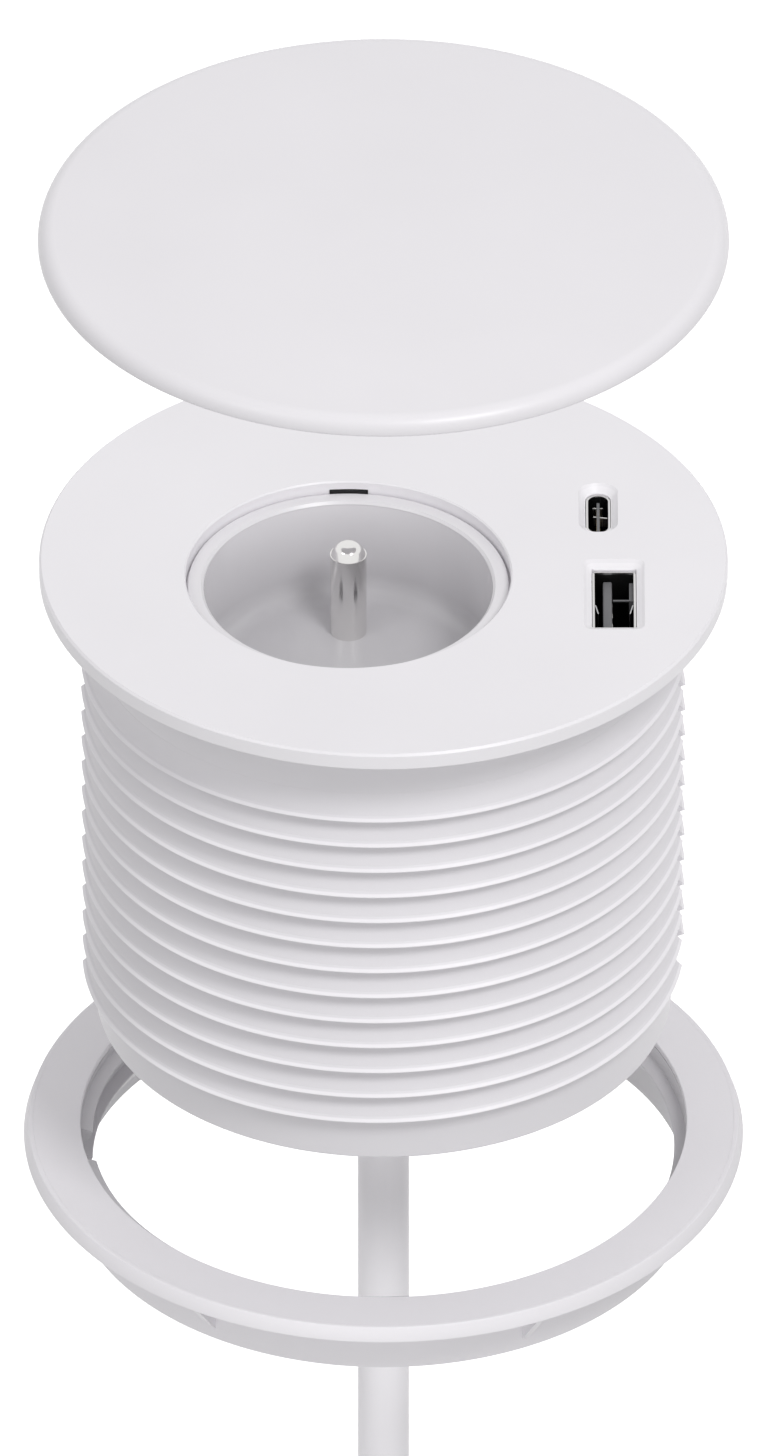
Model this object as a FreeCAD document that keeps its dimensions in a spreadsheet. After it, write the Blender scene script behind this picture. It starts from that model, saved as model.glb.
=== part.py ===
import FreeCAD, Part
import math
import os
import Sketcher
from FreeCAD import Placement, Rotation, Vector

# %% Driving sizes
# All lengths are in millimetres. The origin is the centre of the flange's underside, +Z is up
# out of the desk, and -Y is the user's side. Angles called bearing are counted from the front
# (-Y) towards +X; a helix height is where the thread's root corner crosses the front.

driving = {
    # desk flange and threaded barrel
    "flange_radius": 45.0,
    "flange_thick": 2.5,
    "edge_break": 0.3,
    "barrel_crest_radius": 39.65,
    "barrel_wall": 1.6,
    "barrel_depth": 66.8,
    "thread_pitch": 4.0,
    "thread_depth": 1.75,
    "thread_flare": 3.25,
    "thread_first_root": 8.65,
    "thread_root_lift": 0.05,
    "thread_embed": 0.5,
    # socket well
    "well_x": -4.6,
    "well_y": -3.8,
    "well_outer_radius": 21.0,
    "well_wall": 2.1,
    "well_gap": 0.25,
    "well_depth": 16.0,
    "well_floor": 2.0,
    "well_rim_drop": 1.65,
    "rim_chamfer": 0.4,
    "shoulder_past_middle": 1.3333,
    "shoulder_thick": 2.0,
    "pin_spacing": 19.0,
    "pin_radius": 2.4,
    "pin_clear": 0.2,
    "earth_offset": 10.0,
    "earth_tip": 0.3,
    "earth_collar": 0.8,
    "earth_collar_tall": 2.0,
    "latch_width": 5.1,
    "latch_centre_x": -4.55,
    "latch_low": 0.5,
    "latch_high": 1.3,
    "latch_reach": 1.5,
    # charging outlets
    "usb_c_inset": 2.0,
    "usb_c_y": 11.5,
    "usb_c_wide": 3.2,
    "usb_c_long": 8.94,
    "usb_c_recess": 0.95,
    "usb_c_border": 1.05,
    "usb_c_tongue_wide": 0.5,
    "usb_c_tongue_long": 6.7,
    "usb_a_corner_clear": 0.1377,
    "usb_a_y": -8.35,
    "usb_a_wide": 5.7,
    "usb_a_long": 13.1,
    "usb_a_recess": 0.8,
    "usb_a_border": 1.15,
    "usb_a_tongue_wide": 1.2,
    "usb_a_tongue_long": 11.1,
    "usb_a_tongue_shift": -0.87,
    "tongue_drop": 0.9,
    "shell_wall": 0.3,
    "shell_drop": 0.2,
    "fit_clear": 0.05,
    # charger board under the outlets
    "board_top": -14.0,
    "board_thick": 1.6,
    "board_clear": 0.5,
    "board_gap": 1.1,
    "board_screw_length": 8.0,
    "post_inset": 3.3265,
    "post_radius": 2.6,
    "post_bore": 7.0,
    "transformer_inset": 1.5,
    "transformer_wide": 12.0,
    "transformer_long": 18.0,
    "transformer_tall": 15.0,
    "can_inset": 11.3,
    "can_back_y": 15.0,
    "can_front_y": -15.5,
    "can_radius": 4.0,
    "can_tall": 12.0,
    "lead_drop": 14.0,
    "lead_first_y": -2.5,
    "lead_second_y": -5.5,
    "lead_radius": 0.7,
    # contacts under the well
    "track_tall": 3.4,
    "carrier_tall": 18.0,
    "carrier_front": -16.0,
    "carrier_back": 6.5,
    "carrier_stop": 1.5,
    "rail_clear": 0.6,
    "rail_wide": 3.8,
    "contact_wall": 0.8,
    "contact_clear": 0.1,
    "contact_slit": 0.6,
    "contact_slit_tall": 12.0,
    "tail_radius": 1.1,
    "tail_reach": 1.5,
    "strap_half_wide": 3.0,
    "strap_thick": 0.8,
    "strap_reach": 6.7,
    "shutter_half_wide": 12.6,
    "shutter_front": -5.0,
    "shutter_back": 4.2,
    "shutter_clear": 0.3,
    "shutter_ramp": 2.4,
    "leaf_thick": 0.6,
    "leaf_wide": 2.0,
    "leaf_clear": 0.1,
    "carrier_screw_y": -4.0,
    # bottom cap and cord entry
    "cap_thick": 2.5,
    "cap_clear": 0.2,
    "boss_inset": 2.7,
    "boss_radius": 3.0,
    "boss_tall": 12.0,
    "boss_bore": 8.5,
    "cap_screw_length": 9.0,
    "screw_head_tall": 1.4,
    "jacket_rise": 10.3,
    "cord_radius": 3.4,
    "gland_wall": 2.7,
    "gland_flange": 1.8,
    "gland_flange_thick": 1.5,
    "gland_end_wall": 1.2,
    "gland_length": 22.0,
    "tower_inner": 8.2,
    "tower_outer": 12.0,
    "clamp_half_wide": 9.0,
    "clamp_thick": 3.0,
    "clamp_tall": 5.0,
    "clamp_drop": 1.0,
    "clamp_screw_x": 6.5,
    "clamp_screw_length": 13.0,
    "clamp_screw_radius": 1.0,
    "wire_radius": 0.8,
    # clamp nut and its slip ring
    "nut_drop": 20.9,
    "nut_tall": 10.7,
    "nut_clear": 0.35,
    "nut_wall": 1.2,
    "nut_flange_reach": 7.5,
    "nut_flange_thick": 2.0,
    "ridge_clear": 0.5,
    "ridge_above": 0.6,
    "ridge_below": 3.8,
    "gusset_thick": 1.4,
    "gusset_inset": 1.0,
    "slip_inner_gap": 1.5,
    "slip_outer_gap": 1.3,
    "slip_thick": 0.8,
    # lid, drawn lifted off
    "lid_inset": 0.1,
    "lid_bottom": 52.5,
    "lid_thick": 2.4,
    "lid_rim_round": 2.2,
    "liner_clear": 0.3,
    "liner_wall": 2.9,
    "liner_tall": 1.3,
    # stored cord: a coil in the XZ plane that hangs under the socket
    "coil_mean_radius": 40.0,
    "coil_gap": 0.6,
    "coil_entry_x": 21.9,
    "coil_entry_drop": 116.6,
    "cord_hanging_drop": 57.2,
    "cord_straight_drop": 71.2,
    "cord_bend_x": 3.5,
    "cord_bend_drop": 98.2,
    "tail_length": 22.0,
    "tie_thick": 1.2,
    "tie_half_wide": 4.0,
    "tie_clear": 0.4,
    # mains plug
    "plug_relief_length": 28.0,
    "plug_relief_wall": 0.8,
    "plug_relief_growth": 1.8,
    "plug_body_length": 36.0,
    "plug_radius": 18.3,
    "plug_neck_radius": 9.15,
    "plug_waist_radius": 11.35,
    "plug_waist_drop": 6.0,
    "plug_shoulder_drop": 15.0,
    "plug_edge": 0.8,
    "plug_pin_length": 19.0,
    "plug_earth_bore": 17.0,
    "groove_half_wide": 2.4,
    "groove_deep": 2.0,
    "groove_tall": 14.0,
    "clip_half_wide": 2.2,
    "clip_thick": 1.2,
    "clip_low": 0.4,
    "clip_high": 13.6,
}

# Lengths that follow the driving ones, as formulas of the same sheet.
derived = {
    "barrel_root_radius": "barrel_crest_radius - thread_depth",
    "barrel_bore_radius": "barrel_root_radius - barrel_wall",
    "well_hole_radius": "well_outer_radius + well_gap",
    "well_inner_radius": "well_outer_radius - well_wall",
    "well_offset": "sqrt(well_x ^ 2 + well_y ^ 2)",
    "well_room_radius": "barrel_bore_radius - well_offset",
    "shoulder_radius": "(well_outer_radius + well_room_radius) / 2 + shoulder_past_middle",
    "floor_top": "flange_thick - well_depth",
    "floor_low": "floor_top - well_floor",
    "usb_a_corner_radius": "barrel_bore_radius - usb_a_corner_clear",
    "usb_a_corner_y": "usb_a_long / 2 - usb_a_y",
    "usb_a_x": "sqrt(usb_a_corner_radius ^ 2 - usb_a_corner_y ^ 2) - usb_a_wide / 2",
    "usb_c_x": "usb_a_x - usb_c_inset",
    "board_radius": "barrel_bore_radius - board_clear",
    "board_edge_x": "well_x + well_outer_radius + board_gap",
    "post_circle": "barrel_bore_radius - post_inset",
    "transformer_x": "board_edge_x + transformer_inset",
    "can_x": "barrel_bore_radius - can_inset",
    "lead_z": "board_top - lead_drop",
    "rail_inner": "shutter_half_wide + rail_clear",
    "carrier_half_wide": "rail_inner + rail_wide",
    "carrier_top": "floor_low - track_tall",
    "carrier_bottom": "carrier_top - carrier_tall",
    "contact_tail": "carrier_bottom - tail_reach",
    "contact_outer_radius": "pin_radius + contact_wall",
    "cap_radius": "barrel_bore_radius - cap_clear",
    "boss_circle": "barrel_bore_radius - boss_inset",
    "jacket_top": "jacket_rise - barrel_depth",
    "gland_hole_radius": "cord_radius + gland_wall",
    "gland_bottom": "-barrel_depth - gland_length",
    "nut_top": "-barrel_depth - nut_drop",
    "nut_bottom": "nut_top - nut_tall",
    "nut_bore_radius": "barrel_crest_radius + nut_clear",
    "nut_collar_radius": "nut_bore_radius + nut_wall",
    "nut_flange_radius": "nut_bore_radius + nut_flange_reach",
    "nut_ridge_radius": "barrel_root_radius + ridge_clear",
    "slip_inner_radius": "nut_bore_radius + slip_inner_gap",
    "slip_outer_radius": "nut_flange_radius - slip_outer_gap",
    "lid_radius": "flange_radius - lid_inset",
    "liner_radius": "well_inner_radius - liner_clear",
    "liner_inner": "liner_radius - liner_wall",
    "coil_step": "cord_radius * 2 + coil_gap",
    "coil_entry_z": "gland_bottom - coil_entry_drop",
    "cord_hanging_end": "gland_bottom - cord_hanging_drop",
    "cord_straight_end": "gland_bottom - cord_straight_drop",
    "cord_bend_z": "gland_bottom - cord_bend_drop",
}

BARREL_TURNS = 13
BARREL_HALF_START = (-87.65, 92.35)
THREAD_SWEEP = 170.0
POST_BEARING = 49.303
NUT_RIDGES = ((-80.0, 170.0, 21), (100.0, 170.0, 21), (-80.0, 85.0, 20), (190.0, 80.0, 22))
NUT_GUSSETS = 6
NUT_GUSSET_BEARING = -32.0
COIL_TURNS = 5.125
COIL_START_ANGLE = 45.0
COIL_STEPS = 21
STRAIGHT_ON = 1e-6
CORD_SIDES = 6
SCREW_SIDES = 8
LID_RIM_STEPS = 3


class Size:
    """A length together with the sheet expression that gives it."""

    def __init__(self, value, text):
        self.value = value
        self.text = text

    def __add__(self, other):
        return Size(self.value + number(other), "(%s + %s)" % (self.text, text(other)))

    def __sub__(self, other):
        return Size(self.value - number(other), "(%s - %s)" % (self.text, text(other)))

    def __mul__(self, other):
        return Size(self.value * number(other), "(%s * %s)" % (self.text, text(other)))

    def __neg__(self):
        return self * -1.0

    __radd__ = __add__
    __rmul__ = __mul__


def number(length):
    return length.value if isinstance(length, Size) else float(length)


def text(length):
    return length.text if isinstance(length, Size) else repr(float(length))


class Sizes:
    """Every driving size under its own name."""


doc = FreeCAD.newDocument("desk_socket")
sheet = doc.addObject("Spreadsheet::Sheet", "sizes")
size = Sizes()
formulas = {name: "=" + rule for name, rule in derived.items()}
for row, (name, value) in enumerate((driving | formulas).items(), 1):
    sheet.set("A%d" % row, name)
    sheet.set("B%d" % row, str(value))
    sheet.setAlias("B%d" % row, name)
doc.recompute()
for name in driving | derived:
    setattr(size, name, Size(float(sheet.get(name)), "sizes." + name))

ZERO = Size(0.0, "0")
nodes = {}


# %% Helpers that draw and bind

def bind(target, path, length):
    """Ties one property to the sheet, or sets it when it is a plain number."""
    target.setExpression(path, text(length))


def place(target, where):
    for axis, length in zip("xyz", where):
        if number(length):
            bind(target, "Placement.Base." + axis, length)


def new_body(label, where=(0, 0, 0)):
    body = doc.addObject("PartDesign::Body", label)
    body.Label = label
    place(body, where)
    nodes[label] = body
    return body


def attach(body, sketch, role, height=0, turn=0):
    """Lays a sketch on one of the body's own planes, lifted and turned about its own axes."""
    plane = [item for item in body.Origin.OriginFeatures if item.Role == role][0]
    sketch.AttachmentSupport = [(plane, "")]
    sketch.MapMode = "FlatFace"
    sketch.AttachmentOffset = Placement(Vector(0, 0, 0), Rotation(Vector(0, 1, 0), turn))
    if number(height):
        bind(sketch, "AttachmentOffset.Base.z", height)


def pin_point(sketch, edge, end, corner):
    """Holds one end of an edge at a bound corner."""
    for kind, length in zip(("DistanceX", "DistanceY"), corner):
        index = sketch.addConstraint(Sketcher.Constraint(kind, -1, 1, edge, end, number(length)))
        if isinstance(length, Size):
            sketch.setExpression("Constraints[%d]" % index, length.text)


def polygon(body, name, role, corners, height=0, turn=0):
    sketch = body.newObject("Sketcher::SketchObject", name)
    attach(body, sketch, role, height, turn)
    add_polygon(sketch, corners)
    return sketch


def add_polygon(sketch, corners):
    first = sketch.GeometryCount
    count = len(corners)
    points = [Vector(number(x), number(y), 0) for x, y in corners]
    for index, point in enumerate(points):
        sketch.addGeometry(Part.LineSegment(point, points[(index + 1) % count]), False)
    for index in range(count):
        following = first + (index + 1) % count
        sketch.addConstraint(Sketcher.Constraint("Coincident", first + index, 2, following, 1))
    for index, corner in enumerate(corners):
        pin_point(sketch, first + index, 1, corner)


def circles(body, name, role, rings, height=0):
    """A sketch of circles, each given as (x, y, radius)."""
    sketch = body.newObject("Sketcher::SketchObject", name)
    attach(body, sketch, role, height)
    for x, y, radius in rings:
        centre = Vector(number(x), number(y), 0)
        index = sketch.addGeometry(Part.Circle(centre, Vector(0, 0, 1), number(radius)), False)
        pin_point(sketch, index, 3, (x, y))
        held = sketch.addConstraint(Sketcher.Constraint("Radius", index, number(radius)))
        if isinstance(radius, Size):
            sketch.setExpression("Constraints[%d]" % held, radius.text)
    return sketch


def slot(sketch, x, y, wide, long):
    """A slot with half-round ends, its long side along the sketch's Y."""
    left, right = number(x - wide * 0.5), number(x + wide * 0.5)
    low, high = number(y - (long - wide) * 0.5), number(y + (long - wide) * 0.5)
    radius = number(wide) * 0.5
    axis = Vector(0, 0, 1)
    first = sketch.GeometryCount
    sketch.addGeometry(Part.LineSegment(Vector(right, low, 0), Vector(right, high, 0)), False)
    upper = Part.Circle(Vector(number(x), high, 0), axis, radius)
    sketch.addGeometry(Part.ArcOfCircle(upper, 0, math.pi), False)
    sketch.addGeometry(Part.LineSegment(Vector(left, high, 0), Vector(left, low, 0)), False)
    lower = Part.Circle(Vector(number(x), low, 0), axis, radius)
    sketch.addGeometry(Part.ArcOfCircle(lower, math.pi, 2 * math.pi), False)
    for index in range(4):
        following = first + (index + 1) % 4
        sketch.addConstraint(Sketcher.Constraint("Coincident", first + index, 2, following, 1))
    for arc, side in ((first + 1, 1.0), (first + 3, -1.0)):
        pin_point(sketch, arc, 3, (x, y + (long - wide) * 0.5 * side))
        held = sketch.addConstraint(Sketcher.Constraint("Radius", arc, radius))
        sketch.setExpression("Constraints[%d]" % held, (wide * 0.5).text)
        for end in (1, 2):
            sketch.addConstraint(Sketcher.Constraint("Horizontal", arc, 3, arc, end))


def turned(body, name, corners):
    """Revolves a closed outline of (radius, height) corners about Z."""
    feature = body.newObject("PartDesign::Revolution", name)
    profile = polygon(body, name + "_outline", "XZ_Plane", corners)
    body.Tip = feature
    feature.Profile = profile
    feature.ReferenceAxis = (profile, ["V_Axis"])
    feature.Angle = 360
    profile.Visibility = False
    return feature


def pad(body, name, profile, length, down=False):
    feature = body.newObject("PartDesign::Pad", name)
    feature.Profile = profile
    feature.Reversed = down
    bind(feature, "Length", length)
    return feature


def pocket(body, name, profile, length, up=False):
    feature = body.newObject("PartDesign::Pocket", name)
    feature.Profile = profile
    feature.Reversed = up
    bind(feature, "Length", length)
    return feature


def helix(body, name, corners, start, sweep):
    """Sweeps an outline up the right-hand thread from a start bearing."""
    profile = polygon(body, name + "_outline", "XZ_Plane", corners, 0, start - 90.0)
    feature = body.newObject("PartDesign::AdditiveHelix", name)
    feature.Profile = profile
    feature.ReferenceAxis = (profile, ["V_Axis"])
    feature.Mode = "pitch-turns-angle"
    bind(feature, "Pitch", size.thread_pitch)
    feature.Turns = sweep / 360.0
    feature.LeftHanded = False
    feature.Reversed = False
    return feature


def block(label, low, high):
    """A box between two bound corners."""
    box = doc.addObject("Part::Box", label)
    box.Label = label
    for name, start, end in zip(("Length", "Width", "Height"), low, high):
        bind(box, name, end - start)
    place(box, low)
    nodes[label] = box
    return box


def rod(label, radius, start, height, direction=(0, 0, 1)):
    """A round bar from a bound start point."""
    bar = doc.addObject("Part::Cylinder", label)
    bar.Label = label
    bind(bar, "Radius", radius)
    bind(bar, "Height", height)
    bar.Placement.Rotation = Rotation(Vector(0, 0, 1), Vector(*direction))
    place(bar, start)
    nodes[label] = bar
    return bar


def screw_bar(label, radius, start, height, direction=(0, 0, 1)):
    """A screw's shank or head, kept to few sides because it is small and mostly hidden."""
    bar = doc.addObject("Part::Prism", label)
    bar.Label = label
    bar.Polygon = SCREW_SIDES
    bind(bar, "Circumradius", radius)
    bind(bar, "Height", height)
    bar.Placement.Rotation = Rotation(Vector(0, 0, 1), Vector(*direction))
    place(bar, start)
    nodes[label] = bar
    return bar


def joined(label, pieces):
    """Fuses helper solids into one node; loose ones stay separate solids of that node."""
    for piece in pieces:
        del nodes[piece.Label]
    result = doc.addObject("Part::MultiFuse", label)
    result.Shapes = pieces
    result.Label = label
    nodes[label] = result
    return result


def cut_from(label, base, tools):
    """Cuts helper solids out of another."""
    tool = tools[0]
    if len(tools) > 1:
        tool = joined(label + "_tools", tools)
    for piece in (base, tool):
        del nodes[piece.Label]
    result = doc.addObject("Part::Cut", label)
    result.Base = base
    result.Tool = tool
    result.Label = label
    nodes[label] = result
    return result


def shape_node(label, shape):
    """A node whose shape is made in code from the sheet's values."""
    feature = doc.addObject("Part::Feature", label)
    feature.Label = label
    feature.Shape = shape
    nodes[label] = feature
    return feature


def helix_height(turn, bearing):
    """Height of the thread's root corner on a numbered turn at a bearing."""
    return -(size.thread_first_root + size.thread_pitch * turn) + size.thread_pitch * (bearing / 360.0)


# %% Housing: faceplate, flange and threaded barrel in one moulding

def make_housing():
    body = new_body("housing_barrel")
    turned(body, "housing_turned", [
        (ZERO, ZERO),
        (ZERO, size.flange_thick),
        (size.flange_radius - size.edge_break, size.flange_thick),
        (size.flange_radius, size.flange_thick - size.edge_break),
        (size.flange_radius, ZERO),
        (size.barrel_root_radius, ZERO),
        (size.barrel_root_radius, -size.barrel_depth),
        (size.barrel_bore_radius, -size.barrel_depth),
        (size.barrel_bore_radius, ZERO),
    ])
    add_posts(body)
    cut_faceplate(body)
    for side, start in enumerate(BARREL_HALF_START):
        helix(body, "thread_side_%d" % (side + 1), comb_outline(start), start, THREAD_SWEEP)


def comb_outline(start):
    """Half the barrel's buttress teeth at their start bearing, as one comb."""
    root = size.barrel_root_radius + size.thread_root_lift
    inner = size.barrel_root_radius - size.thread_embed
    corners = []
    for turn in range(BARREL_TURNS):
        top = helix_height(turn, start)
        corners.append((root, top))
        corners.append((size.barrel_crest_radius, top - size.thread_flare))
    last = helix_height(BARREL_TURNS, start)
    corners += [(root, last), (inner, last), (inner, helix_height(0, start))]
    return corners


def boss_places():
    for bearing in (90.0, 210.0, 330.0):
        angle = math.radians(bearing)
        yield size.boss_circle * math.cos(angle), size.boss_circle * math.sin(angle)


def post_places():
    angle = math.radians(POST_BEARING)
    for side in (1.0, -1.0):
        yield size.post_circle * math.cos(angle), size.post_circle * (math.sin(angle) * side)


def add_posts(body):
    """Two board posts under the faceplate and three cap bosses on the barrel wall."""
    posts = circles(body, "post_rings", "XY_Plane",
                    [(x, y, size.post_radius) for x, y in post_places()])
    pad(body, "posts", posts, -size.board_top, down=True)
    cap_top = size.cap_thick - size.barrel_depth
    bosses = circles(body, "boss_rings", "XY_Plane",
                     [(x, y, size.boss_radius) for x, y in boss_places()], cap_top)
    pad(body, "bosses", bosses, size.boss_tall)
    pilot = size.post_radius * 0.45
    drilled = circles(body, "post_pilots", "XY_Plane",
                      [(x, y, pilot) for x, y in post_places()], size.board_top)
    pocket(body, "post_holes", drilled, size.post_bore, up=True)
    bored = circles(body, "boss_pilots", "XY_Plane",
                    [(x, y, size.boss_radius * 0.4) for x, y in boss_places()], cap_top)
    pocket(body, "boss_holes", bored, size.boss_bore, up=True)


def insert_screw_places():
    for bearing in (135.0, 315.0):
        angle = math.radians(bearing)
        reach = (size.shoulder_radius + size.well_outer_radius) * 0.5
        yield reach * math.cos(angle), reach * math.sin(angle)


def cut_faceplate(body):
    """The well's hole, its latch slot, the two outlet windows and blind screw holes."""
    hole = circles(body, "well_ring", "XY_Plane", [(size.well_x, size.well_y, size.well_hole_radius)],
                   size.flange_thick)
    pocket(body, "well_hole", hole, size.flange_thick)
    half = size.latch_width * 0.5
    back = size.well_y + size.well_hole_radius
    latch = polygon(body, "latch_outline", "XY_Plane", [
        (size.latch_centre_x - half, back - size.latch_reach),
        (size.latch_centre_x + half, back - size.latch_reach),
        (size.latch_centre_x + half, back + size.latch_reach),
        (size.latch_centre_x - half, back + size.latch_reach),
    ], size.latch_high)
    pocket(body, "latch_slot", latch, size.latch_high - size.latch_low)
    cut_window(body, "usb_c", size.usb_c_x, size.usb_c_y, size.usb_c_wide, size.usb_c_long,
               size.usb_c_border, size.usb_c_recess, True)
    cut_window(body, "usb_a", size.usb_a_x, size.usb_a_y, size.usb_a_wide, size.usb_a_long,
               size.usb_a_border, size.usb_a_recess, False)
    blind = circles(body, "shoulder_pilots", "XY_Plane",
                    [(size.well_x + x, size.well_y + y, size.edge_break * 3.5)
                     for x, y in insert_screw_places()])
    pocket(body, "shoulder_holes", blind, size.flange_thick * 0.75, up=True)


def window_sketch(body, name, x, y, wide, long, rounded, height):
    if not rounded:
        return polygon(body, name, "XY_Plane", rectangle(x, y, wide, long), height)
    sketch = body.newObject("Sketcher::SketchObject", name)
    attach(body, sketch, "XY_Plane", height)
    slot(sketch, x, y, wide, long)
    return sketch


def rectangle(x, y, wide, long):
    return [
        (x - wide * 0.5, y - long * 0.5),
        (x + wide * 0.5, y - long * 0.5),
        (x + wide * 0.5, y + long * 0.5),
        (x - wide * 0.5, y + long * 0.5),
    ]


def cut_window(body, name, x, y, wide, long, border, recess, rounded):
    """A shallow recess with the connector's opening through its floor."""
    outer = window_sketch(body, name + "_recess_outline", x, y, wide + border * 2, long + border * 2,
                          rounded, size.flange_thick)
    pocket(body, name + "_recess", outer, recess)
    inner = window_sketch(body, name + "_opening_outline", x, y, wide + size.fit_clear * 2,
                          long + size.fit_clear * 2, rounded, size.flange_thick)
    pocket(body, name + "_opening", inner, size.flange_thick)


# %% Socket insert, pins, shutter and contacts

def make_insert():
    body = new_body("socket_insert", (size.well_x, size.well_y, 0))
    rim = size.flange_thick - size.well_rim_drop
    turned(body, "insert_turned", [
        (ZERO, size.floor_low),
        (ZERO, size.floor_top),
        (size.well_inner_radius, size.floor_top),
        (size.well_inner_radius, rim - size.rim_chamfer),
        (size.well_inner_radius + size.rim_chamfer, rim),
        (size.well_outer_radius - size.edge_break, rim),
        (size.well_outer_radius, rim - size.edge_break),
        (size.well_outer_radius, ZERO),
        (size.shoulder_radius, ZERO),
        (size.shoulder_radius, -size.shoulder_thick),
        (size.well_outer_radius, -size.shoulder_thick),
        (size.well_outer_radius, size.floor_low),
    ])
    half = size.pin_spacing * 0.5
    bores = circles(body, "floor_rings", "XY_Plane", [
        (half, ZERO, size.pin_radius + size.pin_clear),
        (-half, ZERO, size.pin_radius + size.pin_clear),
        (ZERO, size.earth_offset, size.pin_radius),
    ], size.floor_top)
    pocket(body, "floor_holes", bores, size.well_floor)
    screws = circles(body, "shoulder_rings", "XY_Plane",
                     [(x, y, size.edge_break * 3.5) for x, y in insert_screw_places()])
    pocket(body, "shoulder_holes_through", screws, size.shoulder_thick)
    pilots = circles(body, "carrier_pilots", "XY_Plane",
                     [(x, y, size.pin_radius * 0.4) for x, y in carrier_screw_places()], size.floor_low)
    pocket(body, "carrier_pilot_holes", pilots, size.well_floor * 0.7, up=True)


def make_earth_pin():
    """A standing pin with a domed tip, held by its collar under the floor."""
    body = new_body("earth_pin", (size.well_x, size.well_y + size.earth_offset, 0))
    collar = size.pin_radius + size.earth_collar
    under = size.floor_low - size.earth_collar_tall
    turned(body, "pin_turned", [
        (ZERO, under),
        (collar, under),
        (collar, size.floor_low),
        (size.pin_radius, size.floor_low),
        (size.pin_radius, size.earth_tip - 1.6),
        (size.pin_radius - 0.35, size.earth_tip - 0.7),
        (size.pin_radius - 1.1, size.earth_tip - 0.1),
        (ZERO, size.earth_tip),
    ])


def in_well(x, y, z):
    """A point given from the well's centre."""
    return size.well_x + x, size.well_y + y, z


def carrier_screw_places():
    middle = (size.rail_inner + size.carrier_half_wide) * 0.5
    return (middle, size.carrier_screw_y), (-middle, size.carrier_screw_y)


def make_shutter():
    """A sliding plate whose ramp lets the plug's pins push it aside."""
    body = new_body("shutter", in_well(0, 0, 0))
    plate = polygon(body, "shutter_outline", "XY_Plane", [
        (-size.shutter_half_wide, size.shutter_front),
        (size.shutter_half_wide, size.shutter_front),
        (size.shutter_half_wide, size.shutter_back),
        (-size.shutter_half_wide, size.shutter_back),
    ], size.floor_low - size.shutter_clear)
    pad(body, "shutter_plate", plate, size.track_tall - size.shutter_clear * 2, down=True)
    lead_in = polygon(body, "ramp_outline", "YZ_Plane", [
        (size.shutter_back - size.shutter_ramp, size.floor_low),
        (size.shutter_back + size.shutter_clear, size.floor_low),
        (size.shutter_back + size.shutter_clear, size.floor_low - size.shutter_ramp),
    ], -size.shutter_half_wide - 1.0)
    pocket(body, "shutter_ramp", lead_in, size.shutter_half_wide * 2 + 2.0, up=True)


def make_shutter_spring():
    """A bowed leaf between the shutter and the carrier's stop wall."""
    body = new_body("shutter_spring", in_well(0, 0, 0))
    stop = size.carrier_front + size.carrier_stop + size.leaf_clear
    reach = size.shutter_half_wide - size.leaf_wide
    near = size.shutter_front - size.leaf_clear
    thick = size.leaf_thick
    strip = polygon(body, "leaf_outline", "XY_Plane", [
        (-reach, near),
        (-reach, near - thick),
        (ZERO, stop),
        (reach, near - thick),
        (reach, near),
        (ZERO, stop + thick),
    ], size.carrier_top + thick)
    pad(body, "leaf", strip, size.leaf_wide)


def make_carrier():
    body = new_body("contact_carrier", in_well(0, 0, 0))
    wide = size.carrier_half_wide
    base = polygon(body, "carrier_outline", "XY_Plane", [
        (-wide, size.carrier_front),
        (wide, size.carrier_front),
        (wide, size.carrier_back),
        (-wide, size.carrier_back),
    ], size.carrier_bottom)
    pad(body, "carrier_block", base, size.track_tall + size.carrier_tall)
    track = polygon(body, "track_outline", "XY_Plane", [
        (-size.rail_inner, size.carrier_front + size.carrier_stop),
        (size.rail_inner, size.carrier_front + size.carrier_stop),
        (size.rail_inner, size.carrier_back + 1.0),
        (-size.rail_inner, size.carrier_back + 1.0),
    ], size.floor_low)
    pocket(body, "shutter_track", track, size.track_tall)
    half = size.pin_spacing * 0.5
    bores = circles(body, "contact_rings", "XY_Plane",
                    [(half, ZERO, size.contact_outer_radius), (-half, ZERO, size.contact_outer_radius)],
                    size.carrier_top)
    pocket(body, "contact_bores", bores, size.carrier_tall)
    pilots = circles(body, "carrier_screw_rings", "XY_Plane",
                     [(x, y, size.pin_radius * 0.4) for x, y in carrier_screw_places()],
                     size.carrier_bottom)
    pocket(body, "carrier_screw_holes", pilots, size.track_tall + size.carrier_tall, up=True)


def make_contacts():
    """Slit sleeves that grip the plug's pins, each with a tail for its wire."""
    half = size.pin_spacing * 0.5
    inner = size.pin_radius + size.contact_clear
    low = size.carrier_bottom + size.fit_clear * 10
    high = size.carrier_top - size.shutter_clear
    for label, side in (("live_contact", 1.0), ("neutral_contact", -1.0)):
        body = new_body(label, in_well(half * side, 0, 0))
        turned(body, label + "_turned", [
            (ZERO, size.contact_tail),
            (size.tail_radius, size.contact_tail),
            (size.tail_radius, low),
            (size.contact_outer_radius, low),
            (size.contact_outer_radius, high),
            (inner, high),
            (inner, low + size.contact_wall),
            (ZERO, low + size.contact_wall),
        ])
        slit = polygon(body, label + "_slit_outline", "XY_Plane",
                       rectangle(ZERO, ZERO, size.contact_slit, size.contact_outer_radius * 3),
                       size.carrier_top)
        pocket(body, label + "_slit", slit, size.contact_slit_tall)


def make_earth_strap():
    """An angled strip from under the earth pin down the back of the carrier."""
    under = size.floor_low - size.earth_collar_tall
    back = size.carrier_back
    half = size.strap_half_wide
    shelf = block("strap_shelf", in_well(-half, back, under - size.strap_thick),
                  in_well(half, back + size.strap_reach, under))
    leg = block("strap_leg", in_well(-half, back, size.contact_tail),
                in_well(half, back + size.strap_thick, under))
    joined("earth_strap", [shelf, leg])


# %% Charger: outlet shells, tongues, board and its parts

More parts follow.
